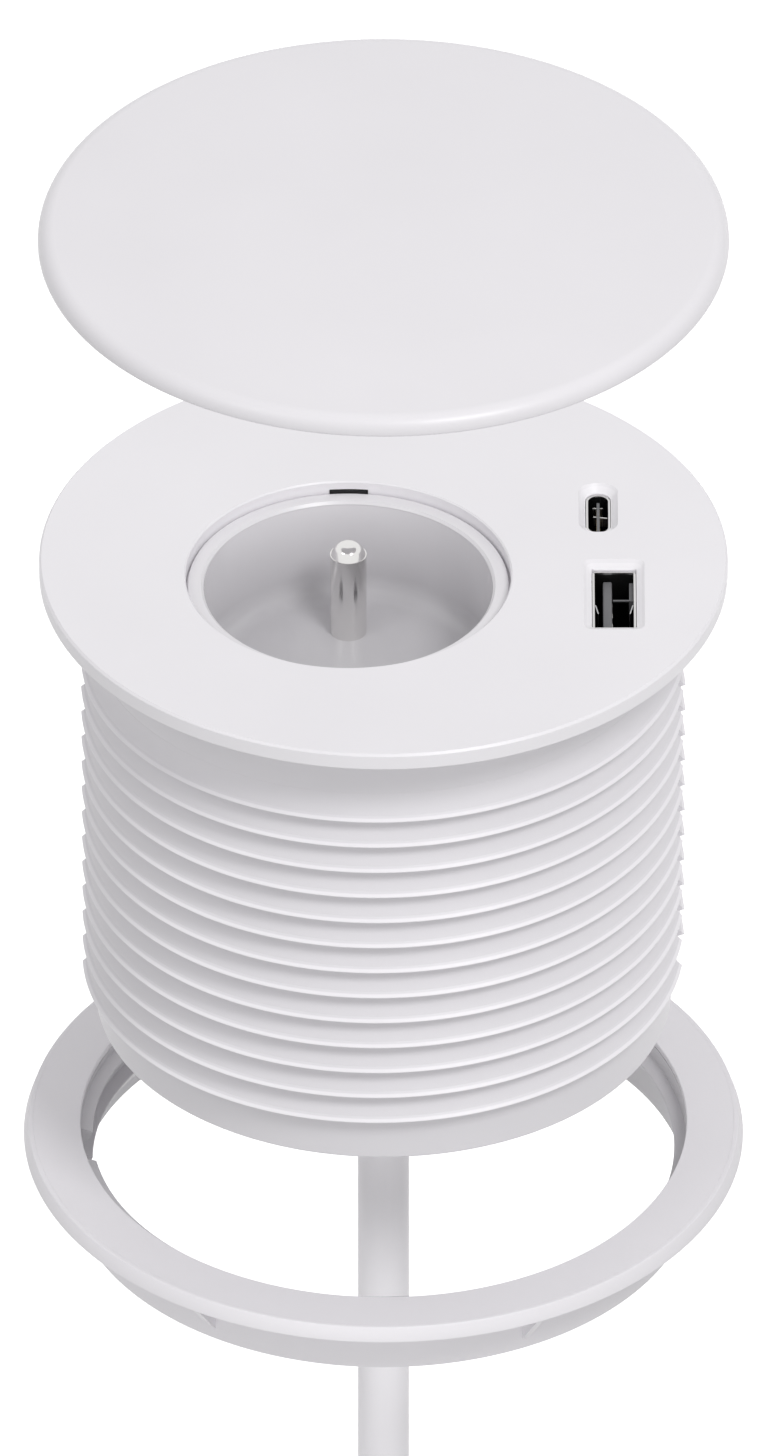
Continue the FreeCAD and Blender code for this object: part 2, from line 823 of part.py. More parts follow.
def make_usb(name, x, y, wide, long, recess, rounded, tongue_x, tongue_wide, tongue_long):
    """An upright connector shell on the board, and the tongue inside it."""
    top = size.flange_thick - recess - size.shell_drop
    body = new_body(name + "_shell")
    outer = window_sketch(body, name + "_shell_outline", x, y, wide, long, rounded, size.board_top)
    pad(body, name + "_shell_pad", outer, top - size.board_top)
    wall = size.shell_wall
    inner = window_sketch(body, name + "_mouth_outline", x, y, wide - wall * 2, long - wall * 2,
                          rounded, top)
    pocket(body, name + "_mouth", inner, top - size.board_top - wall * 2)
    half = tongue_wide * 0.5
    centre = x + tongue_x
    block(name + "_tongue", (centre - half, y - tongue_long * 0.5, size.board_top + wall * 2),
          (centre + half, y + tongue_long * 0.5, top - size.tongue_drop))


def make_board():
    """The charger's board on its two posts, with the parts that hang from it."""
    lower = size.board_top - size.board_thick
    disc = rod("board_disc", size.board_radius, (0, 0, lower), size.board_thick)
    waste = block("board_waste", (-size.board_radius * 1.1, -size.board_radius * 1.1, lower - 1.0),
                  (size.board_edge_x, size.board_radius * 1.1, size.board_top + 1.0))
    thread = size.post_radius * 0.45
    places = list(post_places())
    holes = [rod("board_hole_%d" % index, thread, spot + (lower - 1.0,), size.board_thick + 2.0)
             for index, spot in enumerate(places)]
    cut_from("charger_board", disc, [waste] + holes)
    screws = []
    for index, spot in enumerate(places):
        screws.append(screw_bar("board_shank_%d" % index, thread, spot + (lower,), size.board_screw_length))
        screws.append(screw_bar("board_head_%d" % index, thread * 2.0,
                                spot + (lower - size.screw_head_tall,), size.screw_head_tall))
    joined("board_screws", screws)
    half = size.transformer_long * 0.5
    block("transformer", (size.transformer_x, -half, lower - size.transformer_tall),
          (size.transformer_x + size.transformer_wide, half, lower))
    cans = [rod("can_%d" % index, size.can_radius, (size.can_x, y, lower - size.can_tall), size.can_tall)
            for index, y in enumerate((size.can_back_y, size.can_front_y))]
    joined("capacitors", cans)
    start = size.well_x + size.carrier_half_wide
    leads = [rod("lead_%d" % index, size.lead_radius, (start, y, size.lead_z), size.transformer_x - start,
                 (1, 0, 0)) for index, y in enumerate((size.lead_first_y, size.lead_second_y))]
    joined("charger_leads", leads)


# %% Bottom cap, cord entry and wires

def make_cap():
    """The barrel's lower end, with the tower that the cord is clamped to."""
    low = -size.barrel_depth
    top = low + size.cap_thick
    body = new_body("bottom_cap")
    turned(body, "cap_turned", [
        (size.gland_hole_radius, low),
        (size.cap_radius, low),
        (size.cap_radius, top),
        (size.gland_hole_radius, top),
    ])
    clamp_high = size.jacket_top - size.clamp_drop
    clamp_low = clamp_high - size.clamp_tall
    tower = polygon(body, "tower_outline", "YZ_Plane", [
        (size.tower_inner, top),
        (size.tower_outer, top),
        (size.tower_outer, clamp_high),
        (size.cord_radius, clamp_high),
        (size.cord_radius, clamp_low),
        (size.tower_inner, clamp_low),
    ], -size.clamp_half_wide)
    pad(body, "clamp_tower", tower, size.clamp_half_wide * 2)
    through = circles(body, "cap_screw_rings", "XY_Plane",
                      [(x, y, size.boss_radius * 0.4) for x, y in boss_places()], low)
    pocket(body, "cap_screw_holes", through, size.cap_thick, up=True)
    sunk = circles(body, "cap_head_rings", "XY_Plane",
                   [(x, y, size.boss_radius * 0.87) for x, y in boss_places()], low)
    pocket(body, "cap_head_sinks", sunk, size.screw_head_tall, up=True)
    pilots = circles(body, "clamp_pilots", "XZ_Plane",
                     [(size.clamp_screw_x * side, clamp_low + size.clamp_tall * 0.5, size.clamp_screw_radius)
                      for side in (-1.0, 1.0)], -size.cord_radius)
    pocket(body, "clamp_pilot_holes", pilots, size.post_bore)
    screws = []
    for index, (x, y) in enumerate(boss_places()):
        shank_low = low + size.screw_head_tall
        screws.append(screw_bar("cap_shank_%d" % index, size.boss_radius * 0.4, (x, y, shank_low),
                                size.cap_screw_length))
        screws.append(screw_bar("cap_head_%d" % index, size.boss_radius * 0.8,
                                (x, y, low + size.screw_head_tall * 0.15), size.screw_head_tall * 0.85))
    joined("cap_screws", screws)


def make_cord_entry():
    """The strain relief in the cap, the sheath inside the housing and its clamp bar."""
    low = -size.barrel_depth
    top = low + size.cap_thick
    body = new_body("cord_gland")
    turned(body, "gland_turned", [
        (size.cord_radius, size.gland_bottom),
        (size.cord_radius + size.gland_end_wall, size.gland_bottom),
        (size.gland_hole_radius, low - size.cap_thick),
        (size.gland_hole_radius, top),
        (size.gland_hole_radius + size.gland_flange, top),
        (size.gland_hole_radius + size.gland_flange, top + size.gland_flange_thick),
        (size.cord_radius, top + size.gland_flange_thick),
    ])
    rod("cord_jacket", size.cord_radius, (0, 0, size.gland_bottom), size.jacket_top - size.gland_bottom)
    half = size.clamp_half_wide
    high = size.jacket_top - size.clamp_drop
    middle = high - size.clamp_tall * 0.5
    front = -size.cord_radius - size.clamp_thick
    bar = block("clamp_bar", (-half, front, high - size.clamp_tall), (half, -size.cord_radius, high))
    sides = (size.clamp_screw_x * -1.0, size.clamp_screw_x)
    holes = [rod("clamp_hole_%d" % index, size.clamp_screw_radius, (x, front - 1.0, middle),
                 size.clamp_thick + 2.0, (0, 1, 0)) for index, x in enumerate(sides)]
    cut_from("cord_clamp", bar, holes)
    screws = []
    for index, x in enumerate(sides):
        screws.append(screw_bar("clamp_shank_%d" % index, size.clamp_screw_radius, (x, front, middle),
                                size.clamp_screw_length, (0, 1, 0)))
        screws.append(screw_bar("clamp_head_%d" % index, size.clamp_screw_radius * 2.0,
                                (x, front - size.screw_head_tall, middle), size.screw_head_tall,
                                (0, 1, 0)))
    joined("clamp_screws", screws)


def make_screws():
    lower = -size.shoulder_thick
    screws = []
    for index, (x, y) in enumerate(insert_screw_places()):
        spot = in_well(x, y, lower)
        screws.append(screw_bar("insert_shank_%d" % index, size.edge_break * 3.5, spot,
                                size.shoulder_thick + size.flange_thick * 0.7))
        head = in_well(x, y, lower - size.screw_head_tall)
        screws.append(screw_bar("insert_head_%d" % index, size.edge_break * 7, head,
                                size.screw_head_tall))
    joined("insert_screws", screws)
    screws = []
    reach = size.track_tall + size.carrier_tall + size.well_floor * 0.65
    for index, (x, y) in enumerate(carrier_screw_places()):
        spot = in_well(x, y, size.carrier_bottom)
        screws.append(screw_bar("carrier_shank_%d" % index, size.pin_radius * 0.4, spot, reach))
        head = in_well(x, y, size.carrier_bottom - size.screw_head_tall)
        screws.append(screw_bar("carrier_head_%d" % index, size.pin_radius * 0.8, head,
                                size.screw_head_tall))
    joined("carrier_screws", screws)


def arc_between(start, corner, end):
    """The arc that leaves one straight towards a corner and joins the next."""
    middle = (start + end) * 0.5
    half_turn = 0.5 * (corner - start).getAngle(end - corner)
    lift = math.tan(half_turn * 0.5) / math.tan(half_turn)
    return Part.Arc(start, middle + (corner - middle) * lift, end).toShape()


def faceted_ring(start, along, radius):
    """A closed ring of straight sides round the start of a path."""
    facing = Placement(start, Rotation(Vector(0, 0, 1), along))
    angles = [2.0 * math.pi * side / CORD_SIDES for side in range(CORD_SIDES)]
    corners = [facing.multVec(Vector(radius * math.cos(angle), radius * math.sin(angle), 0))
               for angle in angles]
    return Part.makePolygon(corners + corners[:1])


def ring_area(radius):
    return 0.5 * CORD_SIDES * radius ** 2 * math.sin(2.0 * math.pi / CORD_SIDES)


def tube(label, points, radius):
    """A faceted tube on straight runs joined by arcs as large as the runs allow."""
    edges = []
    radii = []
    here = points[0]
    for before, corner, after in zip(points, points[1:], points[2:]):
        run_in = corner - before
        run_out = after - corner
        if run_in.getAngle(run_out) < STRAIGHT_ON:
            continue
        reach = 0.45 * min(run_in.Length, run_out.Length)
        start = corner - run_in.normalize() * reach
        end = corner + run_out.normalize() * reach
        radii.append(reach / math.tan(0.5 * (corner - start).getAngle(end - corner)))
        edges.append(Part.LineSegment(here, start).toShape())
        edges.append(arc_between(start, corner, end))
        here = end
    edges.append(Part.LineSegment(here, points[-1]).toShape())
    path = Part.Wire(edges)
    solid = path.makePipeShell([faceted_ring(points[0], points[1] - points[0], radius)], True, False)
    expected = ring_area(radius) * path.Length
    print("%s: length %.1f, volume %.1f of %.1f, radii %s"
          % (label, path.Length, solid.Volume, expected, " ".join("%.1f" % r for r in radii)))
    shape_node(label, solid)
    return path.Length


def make_wires():
    tail = number(size.contact_tail)
    top = number(size.jacket_top)
    half = number(size.pin_spacing) * 0.5
    ends = {
        "live_wire": ((1.3, -0.9), (half, 0.0)),
        "neutral_wire": ((-1.3, -0.9), (-half, 0.0)),
        "earth_wire": ((0.0, 1.6), (0.0, number(size.carrier_back) + 0.9)),
    }
    rise = (tail - top) / 3.0
    for label, (core, contact) in ends.items():
        x = number(size.well_x) + contact[0]
        y = number(size.well_y) + contact[1]
        tube(label, [
            Vector(core[0], core[1], top),
            Vector(core[0], core[1], top + rise),
            Vector(x, y, tail - rise),
            Vector(x, y, tail),
        ], number(size.wire_radius))


# %% Free cord, stored coil and plug

def coil_centre():
    angle = math.radians(COIL_START_ANGLE)
    outer = coil_radius(0.0)
    lead = 2.0 * number(size.cord_radius)
    x = number(size.coil_entry_x) + lead * math.sin(angle) - outer * math.cos(angle)
    z = number(size.coil_entry_z) - lead * math.cos(angle) - outer * math.sin(angle)
    return x, z


def coil_radius(turn):
    """Spirals in to the middle of the winding and out again."""
    middle = COIL_TURNS * 0.5
    inner = number(size.coil_mean_radius) - number(size.coil_step) * middle * 0.5
    return inner + number(size.coil_step) * abs(turn - middle)


def coil_layer(turn):
    """Climbs one layer in the half turn where the spiral reverses."""
    share = min(max(turn - COIL_TURNS * 0.5 + 0.25, 0.0), 0.5) * 2.0
    return number(size.coil_step) * 0.5 * (1.0 - math.cos(math.pi * share))


def coil_point(turn):
    angle = math.radians(COIL_START_ANGLE) - 2.0 * math.pi * turn
    x, z = coil_centre()
    radius = coil_radius(turn)
    return Vector(x + radius * math.cos(angle), coil_layer(turn), z + radius * math.sin(angle))


def coil_direction(turn):
    """Along the turn; square to the radius at both ends, where the cord runs straight."""
    if turn in (0.0, COIL_TURNS):
        angle = math.radians(COIL_START_ANGLE) - 2.0 * math.pi * turn
        return Vector(math.sin(angle), 0, -math.cos(angle))
    step = 1e-4
    return (coil_point(turn + step) - coil_point(turn - step)).normalize()


def biarc(start, start_way, end, end_way):
    """Two arcs that leave and arrive along given directions."""
    span = end - start
    both = start_way + end_way
    spread = 2.0 * (1.0 - start_way.dot(end_way))
    along = span.dot(both)
    reach = (math.sqrt(along * along + spread * span.dot(span)) - along) / spread
    first = start + start_way * reach
    second = end - end_way * reach
    joint = (first + second) * 0.5
    return [arc_between(start, first, joint), arc_between(joint, second, end)]


def make_coil():
    """Five turns and an eighth in two layers, as one faceted tube."""
    lead = 2.0 * number(size.cord_radius)
    turns = [COIL_TURNS * index / COIL_STEPS for index in range(COIL_STEPS + 1)]
    begin = coil_point(0.0)
    finish = coil_point(COIL_TURNS)
    edges = [Part.LineSegment(begin - coil_direction(0.0) * lead, begin).toShape()]
    for before, after in zip(turns, turns[1:]):
        edges += biarc(coil_point(before), coil_direction(before), coil_point(after), coil_direction(after))
    end = finish + coil_direction(COIL_TURNS) * lead
    edges.append(Part.LineSegment(finish, end).toShape())
    path = Part.Wire(edges)
    start = edges[0].Vertexes[0].Point
    radius = number(size.cord_radius)
    solid = path.makePipeShell([faceted_ring(start, coil_direction(0.0), radius)], True, False)
    print("cord_coil: length %.1f, volume %.1f of %.1f, least gap %.2f"
          % (path.Length, solid.Volume, ring_area(radius) * path.Length, least_gap()))
    shape_node("cord_coil", solid)
    return path.Length, end


def least_gap():
    """Least gap between turns, from points along the coil's line."""
    samples = 72
    count = int(COIL_TURNS * samples)
    points = [coil_point(index / samples) for index in range(count + 1)]
    least = 1e9
    for index, point in enumerate(points):
        for other in points[index + samples // 2:]:
            least = min(least, point.distanceToPoint(other))
    return least - 2.0 * number(size.cord_radius)


def make_tie():
    """A strap round the whole winding on the side away from the plug."""
    x, z = coil_centre()
    clear = number(size.tie_clear)
    outer = coil_radius(0.0) + number(size.cord_radius) + clear
    inner = coil_radius(COIL_TURNS * 0.5) - number(size.cord_radius) - clear * 2.5
    layers = number(size.coil_step)
    reach = number(size.cord_radius) + clear
    thick = number(size.tie_thick)
    half_wide = number(size.tie_half_wide)
    hole = Part.makeBox(outer - inner, layers + 2 * reach, 2 * half_wide + 2,
                        Vector(x - outer, -reach, z - half_wide - 1))
    band = Part.makeBox(outer - inner + 2 * thick, layers + 2 * (reach + thick), 2 * half_wide,
                        Vector(x - outer - thick, -reach - thick, z - half_wide))
    shape_node("coil_tie", band.cut(hole))


def make_cord():
    """The cord's free stretches, its coil, and the plug on its far end."""
    route = [
        Vector(0, 0, number(size.gland_bottom)),
        Vector(0, 0, number(size.cord_hanging_end)),
        Vector(0, 0, number(size.cord_straight_end)),
        Vector(number(size.cord_bend_x), 0, number(size.cord_bend_z)),
        Vector(number(size.coil_entry_x), 0, number(size.coil_entry_z)),
    ]
    length = tube("mains_cord", route, number(size.cord_radius))
    coiled, end = make_coil()
    make_tie()
    tail_end = end + coil_direction(COIL_TURNS) * number(size.tail_length)
    length += coiled + tube("cord_tail", [end, tail_end], number(size.cord_radius))
    print("whole cord: %.0f" % length)
    make_plug(tail_end)


def make_plug(top):
    """A straight two-pin plug with side earth clips, hanging pins down."""
    where = (Size(top.x, repr(top.x)), Size(top.y, repr(top.y)), Size(top.z, repr(top.z)))
    relief = new_body("plug_strain_relief", where)
    turned(relief, "relief_turned", [
        (ZERO, ZERO),
        (size.cord_radius + size.plug_relief_wall, ZERO),
        (size.cord_radius + size.plug_relief_wall + size.plug_relief_growth, -size.plug_relief_length),
        (ZERO, -size.plug_relief_length),
    ])
    body = new_body("plug_body", where)
    neck = -size.plug_relief_length
    face = neck - size.plug_body_length
    turned(body, "plug_turned", [
        (ZERO, neck),
        (size.plug_neck_radius, neck),
        (size.plug_waist_radius, neck - size.plug_waist_drop),
        (size.plug_radius - size.plug_edge, neck - size.plug_shoulder_drop),
        (size.plug_radius, neck - size.plug_shoulder_drop - size.plug_edge * 2.5),
        (size.plug_radius, face + size.plug_edge),
        (size.plug_radius - size.plug_edge, face),
        (ZERO, face),
    ])
    for name, side in (("front", -1.0), ("back", 1.0)):
        groove = polygon(body, name + "_groove_outline", "XY_Plane", [
            (-size.groove_half_wide, (size.plug_radius - size.groove_deep) * side),
            (size.groove_half_wide, (size.plug_radius - size.groove_deep) * side),
            (size.groove_half_wide, (size.plug_radius + size.groove_deep) * side),
            (-size.groove_half_wide, (size.plug_radius + size.groove_deep) * side),
        ], face)
        pocket(body, name + "_groove", groove, size.groove_tall, up=True)
    earth = circles(body, "earth_ring", "XY_Plane",
                    [(ZERO, size.earth_offset, size.pin_radius + size.pin_clear)], face)
    pocket(body, "earth_hole", earth, size.plug_earth_bore, up=True)
    make_plug_metal(where, face)


def make_plug_metal(where, face):
    """Two round pins on the face and an earth clip in each side groove."""
    half = size.pin_spacing * 0.5
    pins = [rod("plug_pin_%d" % index, size.pin_radius,
                (where[0] + half * side, where[1], where[2] + face - size.plug_pin_length),
                size.plug_pin_length) for index, side in enumerate((1.0, -1.0))]
    joined("plug_pins", pins)
    clips = []
    for index, side in enumerate((1.0, -1.0)):
        inner = (size.plug_radius - size.groove_deep) * side
        outer = inner + size.clip_thick * side
        low, high = (inner, outer) if side > 0 else (outer, inner)
        half_wide = size.clip_half_wide
        clips.append(block("clip_%d" % index,
                           (where[0] - half_wide, where[1] + low, where[2] + face + size.clip_low),
                           (where[0] + half_wide, where[1] + high, where[2] + face + size.clip_high)))
    joined("plug_earth_clips", clips)


# %% Clamp nut, slip ring and lid

def make_nut():
    """Collar under a wide flange, six gussets, and a ridge inside that runs in the thread."""
    top = size.nut_top
    under = top - size.nut_flange_thick
    body = new_body("clamp_nut")
    turned(body, "nut_turned", [
        (size.nut_bore_radius, top),
        (size.slip_inner_radius - size.fit_clear, top),
        (size.slip_inner_radius - size.fit_clear, top - size.slip_thick - size.fit_clear),
        (size.slip_outer_radius + size.fit_clear, top - size.slip_thick - size.fit_clear),
        (size.slip_outer_radius + size.fit_clear, top),
        (size.nut_flange_radius, top),
        (size.nut_flange_radius, under),
        (size.nut_collar_radius, under),
        (size.nut_collar_radius, size.nut_bottom),
        (size.nut_bore_radius, size.nut_bottom),
    ])
    for index in range(NUT_GUSSETS):
        bearing = NUT_GUSSET_BEARING + index * 360.0 / NUT_GUSSETS
        web = polygon(body, "gusset_outline_%d" % index, "XZ_Plane", [
            (size.nut_collar_radius - size.nut_wall * 0.5, under + size.nut_flange_thick * 0.25),
            (size.nut_flange_radius - size.gusset_inset, under + size.nut_flange_thick * 0.25),
            (size.nut_flange_radius - size.gusset_inset, under - size.gusset_thick * 0.5),
            (size.nut_collar_radius - size.nut_wall * 0.5, size.nut_bottom + size.gusset_thick),
        ], ZERO, bearing - 90.0)
        gusset = pad(body, "gusset_%d" % index, web, size.gusset_thick)
        gusset.Midplane = True
    for index, (start, sweep, turn) in enumerate(NUT_RIDGES):
        height = helix_height(turn, start)
        helix(body, "ridge_%d" % index, [
            (size.nut_bore_radius + size.nut_wall * 0.35, height + size.ridge_above),
            (size.nut_ridge_radius, height - size.ridge_above * 0.3),
            (size.nut_bore_radius + size.nut_wall * 0.35, height - size.ridge_below),
        ], start, sweep)


def make_slip_ring():
    body = new_body("nut_slip_ring")
    turned(body, "slip_turned", [
        (size.slip_inner_radius, size.nut_top),
        (size.slip_outer_radius, size.nut_top),
        (size.slip_outer_radius, size.nut_top - size.slip_thick),
        (size.slip_inner_radius, size.nut_top - size.slip_thick),
    ])


def make_lid():
    """A thin plate with a rounded rim, and the ring under it that drops into the well."""
    body = new_body("lid_shell")
    top = size.lid_bottom + size.lid_thick
    low = size.lid_bottom
    rim = [(size.lid_radius - size.edge_break, low)]
    for step in range(LID_RIM_STEPS + 1):
        angle = math.radians(90.0 * step / LID_RIM_STEPS)
        inward = size.lid_rim_round * (1.0 - math.cos(angle))
        drop = size.lid_rim_round * (1.0 - math.sin(angle))
        rim.append((size.lid_radius - inward, top - drop))
    turned(body, "lid_turned", [(ZERO, low)] + rim + [(ZERO, top)])
    liner = new_body("lid_liner", (size.well_x, size.well_y, 0))
    turned(liner, "liner_turned", [
        (size.liner_inner, low),
        (size.liner_radius, low),
        (size.liner_radius, low - size.liner_tall),
        (size.liner_inner, low - size.liner_tall),
    ])


# %% Build and write

make_housing()
make_insert()
make_earth_pin()
make_shutter()
make_shutter_spring()
make_carrier()
make_contacts()
make_earth_strap()
make_usb("usb_c", size.usb_c_x, size.usb_c_y, size.usb_c_wide, size.usb_c_long, size.usb_c_recess,
         True, ZERO, size.usb_c_tongue_wide, size.usb_c_tongue_long)
make_usb("usb_a", size.usb_a_x, size.usb_a_y, size.usb_a_wide, size.usb_a_long, size.usb_a_recess,
         False, size.usb_a_tongue_shift, size.usb_a_tongue_wide, size.usb_a_tongue_long)
make_board()
make_cap()
make_cord_entry()
make_screws()
make_wires()
make_cord()
make_nut()
make_slip_ring()
make_lid()
doc.recompute()

faults = [item.Label for item in doc.Objects if {"Invalid", "Error"} & set(item.State)]
if faults:
    raise SystemExit("features with errors: %s" % ", ".join(faults))
os.makedirs("parts", exist_ok=True)
for label, item in nodes.items():
    shape = item.Shape
    if shape.isNull() or not shape.isValid():
        raise SystemExit("%s has no valid shape" % label)
    shape.exportStep("parts/%s.step" % label)
    box = shape.optimalBoundingBox(False) if label in ("housing_barrel", "clamp_nut") else shape.BoundBox
    print("%-20s solids %d volume %9.1f  x %6.1f %6.1f  y %6.1f %6.1f  z %7.1f %7.1f"
          % (label, len(shape.Solids), shape.Volume, box.XMin, box.XMax, box.YMin, box.YMax,
             box.ZMin, box.ZMax))
print("%d nodes" % len(nodes))
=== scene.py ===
import bpy
import bmesh
import math
from mathutils import Matrix, Vector


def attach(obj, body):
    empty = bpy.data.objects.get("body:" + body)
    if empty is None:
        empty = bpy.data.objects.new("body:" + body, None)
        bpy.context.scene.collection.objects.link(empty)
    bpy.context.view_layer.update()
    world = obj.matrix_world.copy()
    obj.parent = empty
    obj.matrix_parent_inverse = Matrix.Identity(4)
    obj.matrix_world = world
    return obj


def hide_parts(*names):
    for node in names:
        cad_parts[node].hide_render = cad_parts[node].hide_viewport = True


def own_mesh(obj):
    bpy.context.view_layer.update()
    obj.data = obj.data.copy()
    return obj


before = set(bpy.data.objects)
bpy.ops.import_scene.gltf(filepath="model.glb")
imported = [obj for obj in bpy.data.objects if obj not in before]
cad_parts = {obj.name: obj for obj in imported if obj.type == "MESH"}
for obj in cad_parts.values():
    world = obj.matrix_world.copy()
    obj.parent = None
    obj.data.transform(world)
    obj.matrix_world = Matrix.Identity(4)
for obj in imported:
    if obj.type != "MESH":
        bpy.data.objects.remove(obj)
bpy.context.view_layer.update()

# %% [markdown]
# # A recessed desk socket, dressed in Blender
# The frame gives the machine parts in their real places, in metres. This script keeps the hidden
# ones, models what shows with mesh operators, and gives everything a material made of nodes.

# %% [markdown]
# ## Camera
# The photograph looks down at the socket from 35 degrees, from so far away that round edges keep
# their shape from top to bottom. A very long lens, nearly five metres off, comes close to that.

# %% Camera
MM = 0.001
VIEW_HEIGHT = 190.8 * MM
VIEW_CENTRE = Vector((0.07 * MM, 0.0, -24.7 * MM))
VIEW_ELEVATION = math.radians(35.0)
CAMERA_DISTANCE = 4.75
SENSOR = 36.0


def make_camera():
    data = bpy.data.cameras.new("camera")
    data.type = "PERSP"
    data.sensor_fit = "VERTICAL"
    data.sensor_height = SENSOR
    data.lens = SENSOR * CAMERA_DISTANCE / VIEW_HEIGHT
    data.clip_start = 0.1
    data.clip_end = 100.0
    camera = bpy.data.objects.new("camera", data)
    bpy.context.scene.collection.objects.link(camera)
    away = Vector((0.0, -math.cos(VIEW_ELEVATION), math.sin(VIEW_ELEVATION)))
    camera.location = VIEW_CENTRE + away * CAMERA_DISTANCE
    camera.rotation_euler = (math.pi / 2 - VIEW_ELEVATION, 0.0, 0.0)
    bpy.context.scene.camera = camera
    return camera


camera = make_camera()
print("camera at", tuple(round(c, 3) for c in camera.location))

# %% [markdown]
# ## Cord
# The cord is one NURBS line whose control points are the route of the machine model: straight down
# out of the strain relief, round the stored coil, and down again to the plug. The coil's points come
# from a loop: the turns spiral in, step to the second layer, and spiral out again.

# %% Cord route
CORD_RADIUS = 3.4
EXIT_HEIGHT = -88.8
ROUTE = [(0.0, 0.0, EXIT_HEIGHT), (0.0, 0.0, -146.0), (0.0, 0.0, -160.0),
         (3.5, 0.0, -187.0), (21.9, 0.0, -205.4)]
COIL_TURNS = 5.125
COIL_START = math.radians(45.0)
COIL_STEP = 7.4
COIL_MEAN_RADIUS = 40.0
COIL_LEAD = 2.0 * CORD_RADIUS
TAIL_LENGTH = 22.0
POINTS_PER_TURN = 24


def coil_radius(turn):
    """Shrinks to the middle of the cord's coiled length, and grows again after it."""
    middle = COIL_TURNS * 0.5
    inner = COIL_MEAN_RADIUS - COIL_STEP * middle * 0.5
    return inner + COIL_STEP * abs(turn - middle)


def coil_layer(turn):
    """Steps over to the second layer within half a turn."""
    share = min(max(turn - COIL_TURNS * 0.5 + 0.25, 0.0), 0.5) * 2.0
    return COIL_STEP * 0.5 * (1.0 - math.cos(math.pi * share))


def coil_centre():
    outer = coil_radius(0.0)
    x = ROUTE[-1][0] + COIL_LEAD * math.sin(COIL_START) - outer * math.cos(COIL_START)
    z = ROUTE[-1][2] - COIL_LEAD * math.cos(COIL_START) - outer * math.sin(COIL_START)
    return x, z


def coil_point(turn):
    angle = COIL_START - 2.0 * math.pi * turn
    x, z = coil_centre()
    radius = coil_radius(turn)
    return (x + radius * math.cos(angle), coil_layer(turn), z + radius * math.sin(angle))


def cord_points():
    count = round(COIL_TURNS * POINTS_PER_TURN)
    turns = [coil_point(COIL_TURNS * index / count) for index in range(count + 1)]
    x, y, z = turns[-1]
    return ROUTE + turns + [(x, y, z - COIL_LEAD), (x, y, z - COIL_LEAD - TAIL_LENGTH)]


PLUG_TOP = cord_points()[-1]


def make_cord():
    curve = bpy.data.curves.new("power_cord", "CURVE")
    curve.dimensions = "3D"
    spline = curve.splines.new("NURBS")
    points = cord_points()
    spline.points.add(len(points) - 1)
    for point, (x, y, z) in zip(spline.points, points):
        point.co = (x * MM, y * MM, z * MM, 1.0)
    spline.order_u = 3
    spline.use_endpoint_u = True
    curve.resolution_u = 6
    curve.bevel_depth = CORD_RADIUS * MM
    curve.bevel_resolution = 6
    curve.use_fill_caps = True
    cord = bpy.data.objects.new("power_cord", curve)
    bpy.context.scene.collection.objects.link(cord)
    return cord


cord = make_cord()
print("cord route of", len(cord_points()), "points, plug top at", PLUG_TOP)

# %% [markdown]
# ## Working tools
# Each piece starts as a bmesh. `outline` lays down a closed chain of edges in the XZ plane, `lathe`
# spins it about the Z axis, and `soften` bevels its sharp edges. `above` and `below` tell it which
# ones. `carve` cuts with a Boolean modifier. `finish_piece` makes the object ride on a body, stand
# for a part of the frame, and take that part's finish. Lengths are given in millimetres.

# %% Mesh tools
ROUND_STEPS = 256
MERGE = 1e-7


def outline(bm, corners):
    verts = [bm.verts.new((x * MM, 0.0, z * MM)) for x, z in corners]
    edges = [bm.edges.new((verts[index - 1], verts[index])) for index in range(len(verts))]
    return verts + edges


def lathe(bm, corners, steps=ROUND_STEPS, centre=(0.0, 0.0)):
    """Spins a closed outline of (radius, height) corners a full turn."""
    geometry = outline(bm, corners)
    bmesh.ops.spin(bm, geom=geometry, cent=(0, 0, 0), axis=(0, 0, 1), angle=2 * math.pi, steps=steps,
                   use_merge=True)
    bmesh.ops.remove_doubles(bm, verts=bm.verts, dist=MERGE)
    bmesh.ops.dissolve_degenerate(bm, edges=bm.edges, dist=MERGE)
    bmesh.ops.recalc_face_normals(bm, faces=bm.faces)
    if centre != (0.0, 0.0):
        bmesh.ops.translate(bm, verts=bm.verts, vec=(centre[0] * MM, centre[1] * MM, 0.0))


def above(level):
    """Chooses the edges that lie wholly over a height."""
    return lambda edge: min(vert.co.z for vert in edge.verts) > level * MM


def below(level):
    """Chooses the edges that lie wholly under a height."""
    return lambda edge: max(vert.co.z for vert in edge.verts) < level * MM


def soften(bm, offset, segments=2, least=25.0, chosen=None):
    """Rounds the edges where two faces meet sharply."""
    limit = math.radians(least)
    edges = [edge for edge in bm.edges
             if len(edge.link_faces) == 2 and edge.calc_face_angle(0.0) > limit
             and (chosen is None or chosen(edge))]
    if edges:
        bmesh.ops.bevel(bm, geom=edges, offset=offset * MM, offset_type="OFFSET", affect="EDGES",
                        segments=segments, profile=0.5, material=-1, clamp_overlap=True)


def round_corners(bm, offset, segments):
    """Rounds the upright edges of a block."""
    upright = [edge for edge in bm.edges if abs(edge.verts[0].co.z - edge.verts[1].co.z) > 0.5 * MM]
    bmesh.ops.bevel(bm, geom=upright, offset=offset * MM, offset_type="OFFSET", affect="EDGES",
                    segments=segments, profile=0.5, material=-1)


def box(bm, low, high):
    """Adds a block between two corners."""
    middle = [(a + b) * 0.5 * MM for a, b in zip(low, high)]
    scale = [(b - a) * MM for a, b in zip(low, high)]
    matrix = Matrix.Translation(middle) @ Matrix.Diagonal((*scale, 1.0))
    return bmesh.ops.create_cube(bm, size=1.0, matrix=matrix)["verts"]


